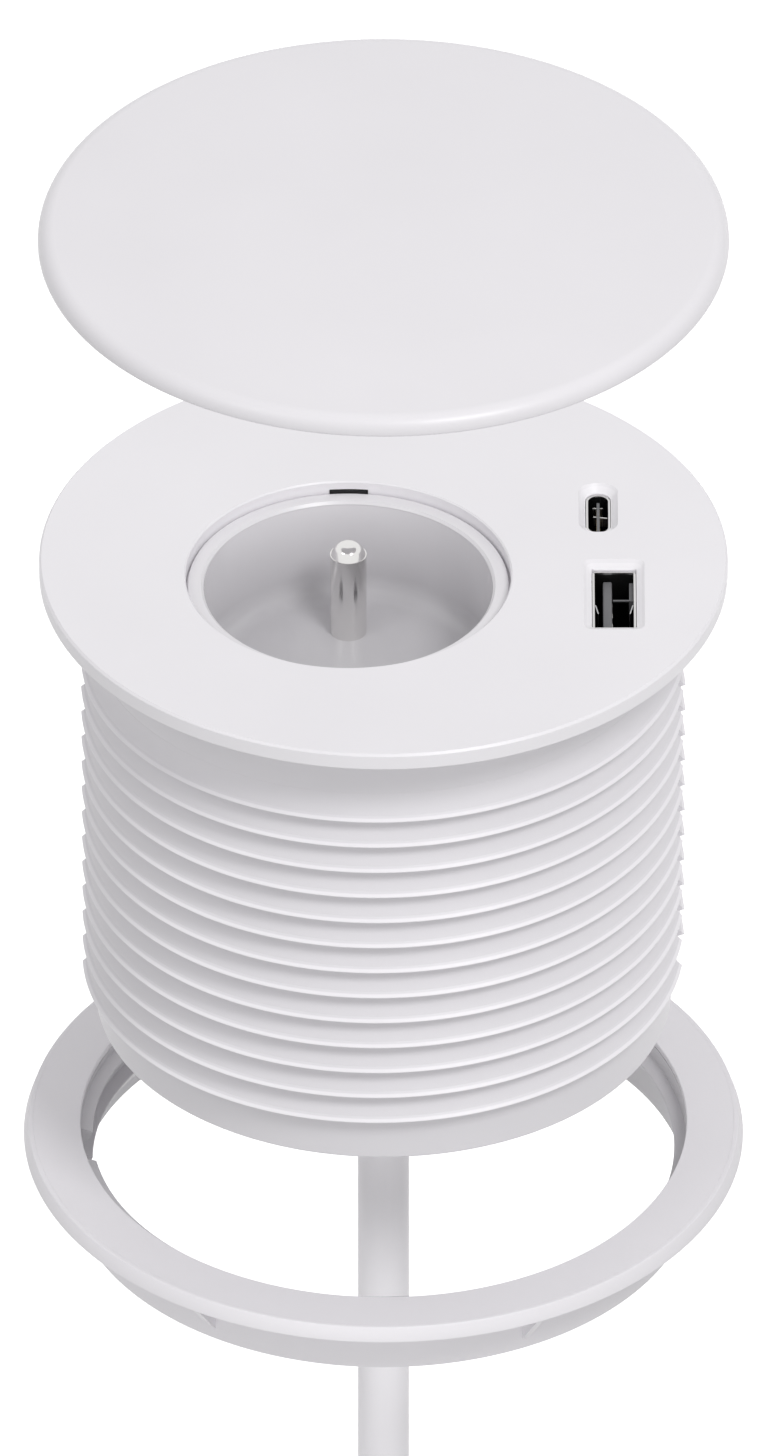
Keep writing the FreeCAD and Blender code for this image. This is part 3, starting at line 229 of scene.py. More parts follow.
def bar(bm, radius, low, high, x=0.0, y=0.0, segments=48, top_radius=None):
    """Adds an upright round bar or taper."""
    matrix = Matrix.Translation((x * MM, y * MM, (low + high) * 0.5 * MM))
    result = bmesh.ops.create_cone(bm, cap_ends=True, segments=segments, radius1=radius * MM,
                                   radius2=(radius if top_radius is None else top_radius) * MM,
                                   depth=(high - low) * MM, matrix=matrix)
    return result["verts"]


def slot_bar(bm, wide, long, low, high, x, y):
    """Adds an upright bar with half-round ends, its long side along Y."""
    reach = (long - wide) * 0.5 * MM
    verts = bar(bm, wide * 0.5, low, high)
    for vert in verts:
        if abs(vert.co.y) > MERGE:
            vert.co.y += math.copysign(reach, vert.co.y)
    bmesh.ops.translate(bm, verts=verts, vec=(x * MM, y * MM, 0.0))


def mesh_object(name, bm):
    mesh = bpy.data.meshes.new(name)
    bm.to_mesh(mesh)
    bm.free()
    item = bpy.data.objects.new(name, mesh)
    bpy.context.scene.collection.objects.link(item)
    return item


def cutter(fill, *sizes):
    """A closed shape of its own, filled by one of the functions above."""
    bm = bmesh.new()
    fill(bm, *sizes)
    bmesh.ops.recalc_face_normals(bm, faces=bm.faces)
    return bm


def carve(item, cutters):
    """Cuts closed shapes out of a piece, and bakes the result."""
    for index, bm in enumerate(cutters):
        tool = mesh_object("cutter_%d" % index, bm)
        step = item.modifiers.new("cut", "BOOLEAN")
        step.operation = "DIFFERENCE"
        step.solver = "EXACT"
        step.object = tool
        graph = bpy.context.evaluated_depsgraph_get()
        cut = bpy.data.meshes.new_from_object(item.evaluated_get(graph))
        item.modifiers.clear()
        old = item.data
        item.data = cut
        cut.name = item.name
        bpy.data.meshes.remove(old)
        tool_mesh = tool.data
        bpy.data.objects.remove(tool)
        bpy.data.meshes.remove(tool_mesh)


def finish_piece(item, material, body, nodes=(), smooth=32.0):
    """Shades, rides, replaces and gives the finish of a piece."""
    item.data.materials.clear()
    item.data.materials.append(material)
    for polygon in item.data.polygons:
        polygon.material_index = 0
    item.data.shade_smooth()
    item.data.set_sharp_from_angle(angle=math.radians(smooth))
    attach(item, body)
    if nodes:
        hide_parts(*nodes)
    print("%-22s %6d faces" % (item.name, len(item.data.polygons)))
    return item


print("tools ready")

# %% [markdown]
# ## Materials
# Shared effects live in node groups. `moulding` gives plastic its faint colour drift, the fine
# spark-eroded grain of a steel mould and a roughness that is never quite even. `metal skin` gives
# plated parts drawing lines and a soft stain.
#
# Some tones depend on the place, read from the Object coordinates, and they are painted light and
# shade. The well is polished, and its tone darkens towards its floor as painted shade. The barrel is
# painted lighter at its neck and at the flange's rim, against the flange's shadow, and this fades
# downward. The lips of its thread carry a painted highlight. The inside of the nut is painted darker,
# as shade. The port shells are bright at the mouth and painted dark below it, as shade inside them.

# %% Node groups
def new_group(name, inputs, outputs):
    group = bpy.data.node_groups.new(name, "ShaderNodeTree")
    for label, kind, value in inputs:
        socket = group.interface.new_socket(label, in_out="INPUT", socket_type=kind)
        socket.default_value = value
    for label, kind in outputs:
        group.interface.new_socket(label, in_out="OUTPUT", socket_type=kind)
    start = group.nodes.new("NodeGroupInput")
    end = group.nodes.new("NodeGroupOutput")
    return group, start, end


def add_noise(group, coordinates, scale, detail, stretch=None):
    noise = group.nodes.new("ShaderNodeTexNoise")
    noise.inputs["Scale"].default_value = scale
    noise.inputs["Detail"].default_value = detail
    source = coordinates.outputs["Object"]
    if stretch:
        mapping = group.nodes.new("ShaderNodeMapping")
        mapping.inputs["Scale"].default_value = stretch
        group.links.new(source, mapping.inputs["Vector"])
        source = mapping.outputs["Vector"]
    group.links.new(source, noise.inputs["Vector"])
    return noise


def add_range(group, source, low, high):
    """Maps the values that a noise mostly has, 0.3 to 0.7, onto a range."""
    ranged = group.nodes.new("ShaderNodeMapRange")
    ranged.inputs["From Min"].default_value = 0.3
    ranged.inputs["From Max"].default_value = 0.7
    ranged.inputs["To Min"].default_value = low
    ranged.inputs["To Max"].default_value = high
    group.links.new(source, ranged.inputs["Value"])
    return ranged


def surface_group(name, fine_scale, fine_stretch, drift, grain_height):
    """Colour drift, roughness drift and fine bump as one group."""
    group, start, end = new_group(
        name,
        [("Color", "NodeSocketColor", (0.8, 0.8, 0.8, 1.0)), ("Roughness", "NodeSocketFloat", 0.4),
         ("Grain", "NodeSocketFloat", 1.0)],
        [("Color", "NodeSocketColor"), ("Roughness", "NodeSocketFloat"), ("Normal", "NodeSocketVector")])
    coordinates = group.nodes.new("ShaderNodeTexCoord")
    broad = add_noise(group, coordinates, 38.0, 3.0)
    fine = add_noise(group, coordinates, fine_scale, 4.0, fine_stretch)
    shade = add_range(group, broad.outputs["Fac"], 1.0 - drift, 1.0 + drift)
    tint = group.nodes.new("ShaderNodeVectorMath")
    tint.operation = "SCALE"
    group.links.new(start.outputs["Color"], tint.inputs[0])
    group.links.new(shade.outputs["Result"], tint.inputs["Scale"])
    group.links.new(tint.outputs["Vector"], end.inputs["Color"])
    spread = add_range(group, fine.outputs["Fac"], 0.92, 1.08)
    rough = group.nodes.new("ShaderNodeMath")
    rough.operation = "MULTIPLY"
    group.links.new(start.outputs["Roughness"], rough.inputs[0])
    group.links.new(spread.outputs["Result"], rough.inputs[1])
    group.links.new(rough.outputs["Value"], end.inputs["Roughness"])
    bump = group.nodes.new("ShaderNodeBump")
    bump.inputs["Distance"].default_value = grain_height * MM
    group.links.new(start.outputs["Grain"], bump.inputs["Strength"])
    group.links.new(fine.outputs["Fac"], bump.inputs["Height"])
    group.links.new(bump.outputs["Normal"], end.inputs["Normal"])
    return group


MOULDING = surface_group("moulding", 2600.0, None, 0.012, 0.02)
METAL_SKIN = surface_group("metal skin", 900.0, (1.0, 1.0, 0.05), 0.03, 0.004)


def surface(name, group, colour, roughness, grain=0.5, metallic=0.0):
    """A material whose colour, roughness and bump come out of one of the two groups."""
    material = bpy.data.materials.new(name)
    material.use_nodes = True
    tree = material.node_tree
    shader = tree.nodes["Principled BSDF"]
    shader.inputs["Metallic"].default_value = metallic
    effect = tree.nodes.new("ShaderNodeGroup")
    effect.node_tree = group
    effect.inputs["Color"].default_value = (*colour, 1.0)
    effect.inputs["Roughness"].default_value = roughness
    effect.inputs["Grain"].default_value = grain
    tree.links.new(effect.outputs["Color"], shader.inputs["Base Color"])
    tree.links.new(effect.outputs["Roughness"], shader.inputs["Roughness"])
    tree.links.new(effect.outputs["Normal"], shader.inputs["Normal"])
    return material


# Sockets of a mix node have numbers, one set for colours and one for plain values.
COLOR_A, COLOR_B, COLOR_OUT = 6, 7, 2
VALUE_A, VALUE_B, VALUE_OUT = 2, 3, 0
LIP_HIGHLIGHT_FADE = 0.1


def from_axis(tree, place):
    """The distance from the socket's upright axis."""
    flat = tree.nodes.new("ShaderNodeVectorMath")
    flat.operation = "MULTIPLY"
    flat.inputs[1].default_value = (1.0, 1.0, 0.0)
    reach = tree.nodes.new("ShaderNodeVectorMath")
    reach.operation = "LENGTH"
    tree.links.new(place.outputs["Object"], flat.inputs[0])
    tree.links.new(flat.outputs["Vector"], reach.inputs[0])
    return reach.outputs["Value"]


def polish_with_painted_shading(material, low, high, deep, wall, roughness, outward=False):
    """Gives all under a height, or inside a radius, a polish and a painted tone from deep to wall,
    standing in for light and shade.
    """
    tree = material.node_tree
    effect = next(node for node in tree.nodes if node.type == "GROUP")
    place = tree.nodes.new("ShaderNodeTexCoord")
    if outward:
        measure = from_axis(tree, place)
    else:
        parts = tree.nodes.new("ShaderNodeSeparateXYZ")
        tree.links.new(place.outputs["Object"], parts.inputs["Vector"])
        measure = parts.outputs["Z"]
    rise = tree.nodes.new("ShaderNodeMapRange")
    rise.inputs["From Min"].default_value = low * MM
    rise.inputs["From Max"].default_value = high * MM
    over = tree.nodes.new("ShaderNodeMath")
    over.operation = "GREATER_THAN"
    over.inputs[1].default_value = high * MM
    for node in (rise, over):
        tree.links.new(measure, node.inputs[0])
    depth = tree.nodes.new("ShaderNodeMix")
    tone = tree.nodes.new("ShaderNodeMix")
    for mix in (depth, tone):
        mix.data_type = "RGBA"
    depth.inputs[COLOR_A].default_value = (*deep, 1.0)
    depth.inputs[COLOR_B].default_value = (*wall, 1.0)
    tone.inputs[COLOR_B].default_value = effect.inputs["Color"].default_value
    shine = tree.nodes.new("ShaderNodeMix")
    shine.inputs[VALUE_A].default_value = roughness
    shine.inputs[VALUE_B].default_value = effect.inputs["Roughness"].default_value
    tree.links.new(rise.outputs["Result"], depth.inputs[0])
    tree.links.new(depth.outputs[COLOR_OUT], tone.inputs[COLOR_A])
    for mix, output, label in ((tone, COLOR_OUT, "Color"), (shine, VALUE_OUT, "Roughness")):
        tree.links.new(over.outputs["Value"], mix.inputs[0])
        tree.links.new(mix.outputs[output], effect.inputs[label])
    return tree, place, depth, tone


def paint_lip_highlights(tree, place, depth, tone, radius, colour):
    """Paints a highlight on the thread's lips, by their distance from the axis."""
    start = tree.nodes.new("ShaderNodeMapRange")
    start.inputs["From Min"].default_value = (radius - LIP_HIGHLIGHT_FADE) * MM
    start.inputs["From Max"].default_value = radius * MM
    tree.links.new(from_axis(tree, place), start.inputs[0])
    lip = tree.nodes.new("ShaderNodeMix")
    lip.data_type = "RGBA"
    lip.inputs[COLOR_B].default_value = (*colour, 1.0)
    tree.links.new(start.outputs["Result"], lip.inputs[0])
    tree.links.new(depth.outputs[COLOR_OUT], lip.inputs[COLOR_A])
    tree.links.new(lip.outputs[COLOR_OUT], tone.inputs[COLOR_A])


housing_white = surface("housing white", MOULDING, (0.86, 0.843, 0.873), 0.38, 0.3)
lid_white = surface("lid white", MOULDING, (0.82, 0.802, 0.832), 0.34, 0.2)
insert_white = surface("insert white", MOULDING, (0.78, 0.765, 0.79), 0.3, 0.2)
nut_white = surface("nut white", MOULDING, (0.8, 0.782, 0.812), 0.45, 0.4)
ring_white = surface("slip ring white", MOULDING, (0.82, 0.802, 0.832), 0.5, 0.6)
cord_white = surface("cord sheath", MOULDING, (0.9, 0.882, 0.912), 0.42, 0.5)
plug_white = surface("plug white", MOULDING, (0.77, 0.755, 0.78), 0.45, 0.7)
grey_plastic = surface("grey moulding", MOULDING, (0.14, 0.14, 0.147), 0.45, 0.6)
dark_plastic = surface("dark moulding", MOULDING, (0.03, 0.03, 0.032), 0.5, 0.7)
polished = surface("polished nickel", METAL_SKIN, (0.80, 0.79, 0.78), 0.13, 0.15, 1.0)
nickel = surface("nickel plate", METAL_SKIN, (0.66, 0.65, 0.63), 0.28, 0.4, 1.0)
steel = surface("zinc plated steel", METAL_SKIN, (0.55, 0.55, 0.56), 0.3, 0.5, 1.0)
brass = surface("brass strip", METAL_SKIN, (0.72, 0.55, 0.26), 0.3, 0.5, 1.0)
gold = surface("gold contacts", METAL_SKIN, (0.95, 0.72, 0.35), 0.22, 0.2, 1.0)
aluminium = surface("aluminium can", METAL_SKIN, (0.7, 0.7, 0.72), 0.35, 0.5, 1.0)
board_green = surface("solder mask", MOULDING, (0.02, 0.16, 0.06), 0.3, 0.4)
wire_brown = surface("brown insulation", MOULDING, (0.16, 0.06, 0.025), 0.45, 0.3)
wire_blue = surface("blue insulation", MOULDING, (0.03, 0.12, 0.42), 0.45, 0.3)
wire_green = surface("green insulation", MOULDING, (0.2, 0.42, 0.05), 0.45, 0.3)
port_metal = surface("port shell plate", METAL_SKIN, (0.68, 0.672, 0.67), 0.25, 0.2, 1.0)

# The barrel is painted lighter at its neck and the flange's rim, against the flange's shadow, fading to
# a darker tone down the thread; the roughness is its real finish.
barrel_painted_shading = polish_with_painted_shading(housing_white, low=-14.0, high=2.2, deep=(0.8, 0.783, 0.813),
                            wall=(0.9, 0.883, 0.913), roughness=0.42)
# The thread's lips are painted lighter: a painted highlight.
paint_lip_highlights(*barrel_painted_shading, radius=39.32, colour=(0.92, 0.903, 0.933))
# The well's inside is polished, and its tone darkens towards the floor: painted shade.
polish_with_painted_shading(insert_white, low=-13.5, high=0.3, deep=(0.53, 0.52, 0.54),
             wall=(0.87, 0.853, 0.88), roughness=0.16)
# Inside the ridge's reach the nut is painted darker: painted shade; its roughness stays as it was.
polish_with_painted_shading(nut_white, low=36.0, high=40.6, deep=(0.6, 0.588, 0.61),
             wall=(0.6, 0.588, 0.61), roughness=0.45, outward=True)
# Below the mouth the port shells are painted near black: painted shade inside them.
polish_with_painted_shading(port_metal, low=-14.0, high=1.2, deep=(0.03, 0.03, 0.03),
             wall=(0.07, 0.07, 0.07), roughness=0.4)
print("materials:", len(bpy.data.materials))

# %% [markdown]
# ## Barrel and faceplate
# The housing is one moulding. Its round core is a lathe outline. The buttress thread is a comb of
# teeth, spun through 170 degrees while it climbs, once for each side, so that a smooth strip stays
# free between the two. Then the well, the latch slot and the two port windows are cut out.

# %% Barrel and faceplate
FLANGE_RADIUS = 45.0
FLANGE_TOP = 2.5
ROOT_RADIUS = 37.9
BORE_RADIUS = 36.3
BARREL_BOTTOM = -66.8
PITCH = 4.0
THREAD_TURNS = 13
FIRST_ROOT = 8.65
THREAD_SWEEP = 170.0
THREAD_STEPS = 110
THREAD_BURY = 0.4
HALF_STARTS = (-87.65, 92.35)
WELL_X = -4.6
WELL_Y = -3.8
WELL_HOLE_RADIUS = 21.25
TOOTH = ((0.02, 0.0), (0.13, -0.6), (0.38, -1.3), (0.72, -2.02), (1.12, -2.74),
         (1.72, -3.24), (1.72, -3.34), (0.02, -3.93))


def root_height(turn, bearing):
    """The height of the thread's root after some turns down, at a bearing from the front."""
    return -(FIRST_ROOT + PITCH * turn) + PITCH * bearing / 360.0


def turn_to(bm, verts, bearing):
    """Turns geometry drawn in the XZ plane to a bearing counted from the front."""
    rotation = Matrix.Rotation(math.radians(bearing - 90.0), 3, "Z")
    bmesh.ops.rotate(bm, verts=verts, cent=(0, 0, 0), matrix=rotation)


def climb(bm, corners, start, sweep, steps):
    """Spins a closed outline along the thread and closes both ends."""
    geometry = outline(bm, corners)
    verts = [item for item in geometry if isinstance(item, bmesh.types.BMVert)]
    face = bm.faces.new(verts)
    turn_to(bm, verts, start)
    rise = PITCH * sweep / 360.0 / steps * MM
    bmesh.ops.spin(bm, geom=[face] + list(face.verts) + list(face.edges), cent=(0, 0, 0),
                   axis=(0, 0, 1), dvec=(0, 0, rise), angle=math.radians(sweep), steps=steps,
                   use_merge=False)


def comb(start):
    """All teeth of one side as a closed outline, its back sunk into the barrel."""
    corners = []
    for turn in range(THREAD_TURNS):
        top = root_height(turn, start)
        corners += [(ROOT_RADIUS + out, top + down) for out, down in TOOTH]
    inner = ROOT_RADIUS - THREAD_BURY
    last = corners[-1][1]
    return corners + [(inner, last), (inner, root_height(0, start))]


def make_thread():
    bm = bmesh.new()
    for start in HALF_STARTS:
        climb(bm, comb(start), start, THREAD_SWEEP, THREAD_STEPS)
    bmesh.ops.recalc_face_normals(bm, faces=bm.faces)
    return bm


def make_barrel():
    bm = bmesh.new()
    lathe(bm, [(0.0, 0.0), (0.0, FLANGE_TOP), (FLANGE_RADIUS, FLANGE_TOP), (FLANGE_RADIUS, 0.0),
               (ROOT_RADIUS, 0.0), (ROOT_RADIUS, BARREL_BOTTOM), (BORE_RADIUS, BARREL_BOTTOM),
               (BORE_RADIUS, 0.0)])
    soften(bm, 0.3, 1, 40.0, lambda edge: edge.verts[0].co.xy.length > (FLANGE_RADIUS - 1.0) * MM)
    soften(bm, 0.2, 2, 40.0, below(BARREL_BOTTOM + 0.1))
    barrel = mesh_object("barrel_and_faceplate", bm)
    carve(barrel, faceplate_cutters())
    thread = mesh_object("thread_bands", make_thread())
    joined = bmesh.new()
    joined.from_mesh(barrel.data)
    joined.from_mesh(thread.data)
    joined.to_mesh(barrel.data)
    joined.free()
    bpy.data.objects.remove(thread)
    return barrel


# %% [markdown]
# ## Openings of the faceplate
# The cutters come in the order in which they are used: the well's hole and its fine edge, the slot
# of the latch, and for each port a shallow flared recess with the window for its shell.

# %% Openings of the faceplate
USB_C = (28.1, 11.5)
USB_A = (30.1, -8.35)
WELL_STEPS = 192
LATCH_LEFT, LATCH_RIGHT = -7.1, -2.0
LATCH_LOW, LATCH_HIGH = 0.1, 1.3


def flared_well(bm, x, y, low, high, corner):
    """A pocket with round corners that widens upward; low and high are (across, along, height)."""
    box(bm, (x - low[0] * 0.5, y - low[1] * 0.5, low[2]),
        (x + low[0] * 0.5, y + low[1] * 0.5, high[2]))
    round_corners(bm, corner, 8)
    for vert in bm.verts:
        if vert.co.z > (low[2] + 0.1) * MM:
            vert.co.x = x * MM + (vert.co.x - x * MM) * high[0] / low[0]
            vert.co.y = y * MM + (vert.co.y - y * MM) * high[1] / low[1]


def faceplate_cutters():
    x_a, y_a = USB_A
    x_c, y_c = USB_C
    back = WELL_Y + WELL_HOLE_RADIUS
    over = FLANGE_TOP + 1.0
    mouth = FLANGE_TOP + 0.02
    return [
        cutter(bar, WELL_HOLE_RADIUS, -1.0, over, WELL_X, WELL_Y, WELL_STEPS),
        cutter(bar, WELL_HOLE_RADIUS, FLANGE_TOP - 0.2, FLANGE_TOP + 0.1, WELL_X, WELL_Y, WELL_STEPS,
               WELL_HOLE_RADIUS + 0.3),
        cutter(box, (LATCH_LEFT, back - 2.0, LATCH_LOW), (LATCH_RIGHT, back + 1.5, LATCH_HIGH)),
        cutter(flared_well, x_c, y_c, (3.5, 9.3, 1.55), (5.2, 11.3, mouth), 1.7),
        cutter(slot_bar, 3.38, 9.12, -2.0, over, x_c, y_c),
        cutter(flared_well, x_a, y_a, (6.0, 13.4, 1.7), (8.0, 16.1, mouth), 0.9),
        cutter(box, (x_a - 2.93, y_a - 6.63, -2.0), (x_a + 2.93, y_a + 6.63, over)),
    ]


finish_piece(make_barrel(), housing_white, "housing", ["housing_barrel"], 16.0)

# %% [markdown]
# ## Outlet well
# The insert is a deep cup with a rounded rim that stands just inside the faceplate's hole. Its floor
# has the two contact holes, and the earth pin stands behind them. A leaf under the floor closes the
# shutter.

# %% Outlet well
PIN_SPACING = 19.0
EARTH_OFFSET = 10.0
WELL_FLOOR = -13.5
WELL_RIM = 0.85
WELL_INNER_RADIUS = 18.9
WELL_OUTER_RADIUS = 21.0
WELL_FLANGE_RADIUS = 27.0
WELL_WALL = 2.0
HOLE_RADIUS = 2.6
HOLE_MOUTH_RADIUS = 3.2
TAB_PLAY = 0.05


def make_insert():
    bm = bmesh.new()
    under = WELL_FLOOR - WELL_WALL
    lathe(bm, [(0.0, under), (0.0, WELL_FLOOR), (WELL_INNER_RADIUS, WELL_FLOOR),
               (WELL_INNER_RADIUS, WELL_RIM), (WELL_OUTER_RADIUS, WELL_RIM), (WELL_OUTER_RADIUS, 0.0),
               (WELL_FLANGE_RADIUS, 0.0), (WELL_FLANGE_RADIUS, -WELL_WALL),
               (WELL_OUTER_RADIUS, -WELL_WALL), (WELL_OUTER_RADIUS, under)],
          WELL_STEPS, (WELL_X, WELL_Y))
    on_rim = above(WELL_RIM - 0.05)

    def outside(edge):
        x, y = edge.verts[0].co.xy
        return math.hypot(x - WELL_X * MM, y - WELL_Y * MM) > 20.0 * MM

    soften(bm, 0.34, 1, 40.0, lambda edge: on_rim(edge) and not outside(edge))
    soften(bm, 0.2, 3, 40.0, lambda edge: on_rim(edge) and outside(edge))
    soften(bm, 3.0, 7, 40.0, lambda edge: all(abs(vert.co.z - WELL_FLOOR * MM) < 0.1 * MM
                                              for vert in edge.verts))
    insert = mesh_object("outlet_well", bm)
    cutters = []
    for x in (WELL_X - PIN_SPACING * 0.5, WELL_X + PIN_SPACING * 0.5):
        cutters.append(cutter(bar, HOLE_RADIUS, under - 1.4, WELL_FLOOR + 1.6, x, WELL_Y))
        cutters.append(cutter(bar, HOLE_RADIUS, WELL_FLOOR - 0.5, WELL_FLOOR + 0.1, x, WELL_Y, 48,
                              HOLE_MOUTH_RADIUS))
    carve(insert, cutters)
    return insert


finish_piece(make_insert(), insert_white, "housing", ["socket_insert"])


def make_latch_tab():
    """The spring tab that holds the insert, seen through the slot in the hole's wall; its near-black
    colour is painted shade for the slot.
    """
    bm = bmesh.new()
    back = WELL_Y + WELL_HOLE_RADIUS
    box(bm, (LATCH_LEFT + TAB_PLAY, back + 0.25, LATCH_LOW + 0.03),
        (LATCH_RIGHT - TAB_PLAY, back + 1.4, LATCH_HIGH - 0.03))
    soften(bm, 0.1, 2, 40.0)
    return mesh_object("latch_tab", bm)


finish_piece(make_latch_tab(), dark_plastic, "housing")


def make_earth_pin():
    bm = bmesh.new()
    lathe(bm, [(0.0, -17.5), (0.0, 0.3), (1.55, 0.3), (2.28, -1.25), (2.4, -1.25), (2.4, -15.5),
               (3.2, -15.5), (3.2, -17.5)], 64, (WELL_X, WELL_Y + EARTH_OFFSET))
    soften(bm, 0.75, 6, 30.0, above(0.2))
    return mesh_object("standing_earth_pin", bm)


finish_piece(make_earth_pin(), polished, "housing", ["earth_pin"])


LEAF_STOP = -18.2
LEAF_HALF_SPAN = 10.6
LEAF_BOW = 8.7
LEAF_THICK = 0.6
LEAF_LEVELS = (-18.3, -16.3)


def make_leaf():
    """The bowed leaf that closes the shutter, its middle against the stop wall."""
    bm = bmesh.new()
    steps = [index / 12.0 - 1.0 for index in range(25)]
    bow = [(WELL_X + LEAF_HALF_SPAN * step, LEAF_STOP + LEAF_BOW * step * step) for step in steps]
    corners = bow + [(x, y + LEAF_THICK) for x, y in reversed(bow)]
    for level in LEAF_LEVELS:
        bm.faces.new([bm.verts.new((x * MM, y * MM, level * MM)) for x, y in corners])
    bm.faces.ensure_lookup_table()
    bmesh.ops.bridge_loops(bm, edges=bm.edges[:])
    bmesh.ops.recalc_face_normals(bm, faces=bm.faces)
    return mesh_object("shutter_leaf", bm)


leaf = finish_piece(make_leaf(), steel, "housing", ["shutter_spring"])
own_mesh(leaf)

# %% [markdown]
# ## Charging ports
# Each port is a folded steel shell with an open mouth, a tongue, a row of plated contacts and thin
# springs that hold a plug.

# %% Charging ports
def leaning_leaf(bm, low, high, lean_x, lean_y):
    """A thin leaf whose far end is shifted to one side."""
    verts = box(bm, low, high)
    along = 1 if lean_x else 0
    far = max(vert.co[along] for vert in verts) - 0.01 * MM
    for vert in verts:
        if vert.co[along] > far:
            vert.co.x += lean_x * MM
            vert.co.y += lean_y * MM


def make_port_c():
    x, y = USB_C
    top = 1.38
    bm = bmesh.new()
    slot_bar(bm, 3.2, 8.94, -14.0, top, x, y)
    shell = mesh_object("port_c_shell", bm)
    carve(shell, [cutter(slot_bar, 2.64, 8.38, -13.0, 3.0, x, y)])
    finish_piece(shell, port_metal, "housing", ["usb_c_shell"])
    bm = bmesh.new()
    box(bm, (x - 0.21, y - 3.35, -13.4), (x + 0.21, y + 3.35, 0.9))
    soften(bm, 0.08, 2)
    finish_piece(mesh_object("port_c_tongue", bm), grey_plastic, "housing",
                 ["usb_c_tongue"])
    bm = bmesh.new()
    for index in range(12):
        along = y - 2.75 + index * 0.5
        for side in (-1.0, 1.0):
            near = x + side * 0.2
            box(bm, (near - 0.03, along - 0.12, -6.0), (near + 0.03, along + 0.12, 0.1))
    finish_piece(mesh_object("port_c_contacts", bm), gold, "housing")
    bm = bmesh.new()
    box(bm, (x - 0.7, y + 2.75, -1.0), (x + 0.65, y + 2.95, 0.35))
    leaning_leaf(bm, (x - 0.62, y + 0.8, -1.0), (x + 1.2, y + 1.0, 0.35), 0.0, -0.3)
    finish_piece(mesh_object("port_c_springs", bm), nickel, "housing")


def make_port_a():
    x, y = USB_A
    top = 1.5
    bm = bmesh.new()
    box(bm, (x - 2.85, y - 6.55, -14.0), (x + 2.85, y + 6.55, top))
    round_corners(bm, 0.6, 4)
    shell = mesh_object("port_a_shell", bm)
    carve(shell, [cutter(box, (x - 2.55, y - 6.25, -13.2), (x + 2.55, y + 6.25, 3.0))])
    finish_piece(shell, port_metal, "housing", ["usb_a_shell"])
    bm = bmesh.new()
    box(bm, (x - 1.47, y - 5.55, -13.4), (x - 0.27, y + 5.55, 0.6))
    soften(bm, 0.2, 2)
    finish_piece(mesh_object("port_a_tongue", bm), grey_plastic, "housing",
                 ["usb_a_tongue"])
    bm = bmesh.new()
    for index in range(4):
        along = y - 3.5 + index * 2.33
        box(bm, (x - 0.28, along - 0.5, -9.0), (x - 0.18, along + 0.5, -1.8))
    finish_piece(mesh_object("port_a_contacts", bm), nickel, "housing")
    bm = bmesh.new()
    leaning_leaf(bm, (x + 2.0, y - 1.7, -4.0), (x + 2.14, y + 0.3, 0.5), 0.38, 0.0)
    leaning_leaf(bm, (x - 2.14, y - 1.7, -4.0), (x - 2.0, y + 0.3, 0.5), -0.38, 0.0)
    finish_piece(mesh_object("port_a_springs", bm), steel, "housing")
    bm = bmesh.new()
    box(bm, (x - 0.15, y + 1.2, 0.38), (x + 2.1, y + 1.42, 0.55))
    box(bm, (x + 1.98, y + 1.2, -3.0), (x + 2.5, y + 5.3, 0.5))
    finish_piece(mesh_object("port_a_guide", bm), grey_plastic, "housing")


make_port_c()
make_port_a()

# %% [markdown]
# ## Lid
# A thin round plate with a generous rim, and a locating ring underneath that drops into the well.
# The photograph has no shadow of the lid on the faceplate, so both throw none in the scene.

# %% Lid
LID_RADIUS = 44.9
LID_LOW = 52.5
LID_TOP = 54.9
LINER_INNER_RADIUS = 16.0
LINER_OUTER_RADIUS = 18.9
LINER_LOW = 51.2


def make_lid():
    bm = bmesh.new()
    lathe(bm, [(0.0, LID_LOW), (0.0, LID_TOP), (LID_RADIUS, LID_TOP), (LID_RADIUS, LID_LOW)])
    soften(bm, 2.1, 10, 40.0, above(LID_TOP - 0.9))
    soften(bm, 0.12, 2, 40.0, below(LID_LOW + 0.1))
    return mesh_object("lid_plate", bm)


lid = finish_piece(make_lid(), lid_white, "lid", ["lid_shell"], 50.0)


def make_liner():
    bm = bmesh.new()
    lathe(bm, [(LINER_INNER_RADIUS, LID_LOW), (LINER_OUTER_RADIUS, LID_LOW),
               (LINER_OUTER_RADIUS, LINER_LOW), (LINER_INNER_RADIUS, LINER_LOW)], 128, (WELL_X, WELL_Y))
    soften(bm, 0.2, 2, 40.0, below(LINER_LOW + 0.1))
    return mesh_object("lid_locating_ring", bm)


liner = finish_piece(make_liner(), insert_white, "lid", ["lid_liner"])
for piece in (lid, liner):
    piece.visible_shadow = False
    piece.visible_diffuse = False

# %% [markdown]
# ## Clamp nut and slip ring
# The nut is a collar under a wide flange, stiffened by six gussets, with a ridge inside that runs in
# the barrel's thread. A thin ring lies in its top face and takes the rubbing against the desk. Each
# stretch of the ridge is given by its start, its sweep and the turn of the thread it belongs to.

# %% Clamp nut
NUT_TOP = -87.7
NUT_BOTTOM = -98.4
NUT_BORE = 40.0
NUT_COLLAR_RADIUS = 41.2
NUT_SEAT_RADIUS = 46.25
NUT_RIM_RADIUS = 46.9
NUT_RADIUS = 47.5
NUT_SEAT_DEPTH = 0.85
NUT_FLANGE = 2.0
RIDGE_STEPS = 90
GUSSETS = 6
GUSSET_BEARING = -33.0
GUSSET_REACH = 46.5
GUSSET_HALF_THICK = 0.5
RING_INNER_RADIUS = 40.02
RING_OUTER_RADIUS = 46.24
RING_THICK = 0.83
NUT_RIDGES = ((-80.0, 180.0, 21), (100.0, 170.0, 21), (-80.0, 85.0, 20), (190.0, 80.0, 22))


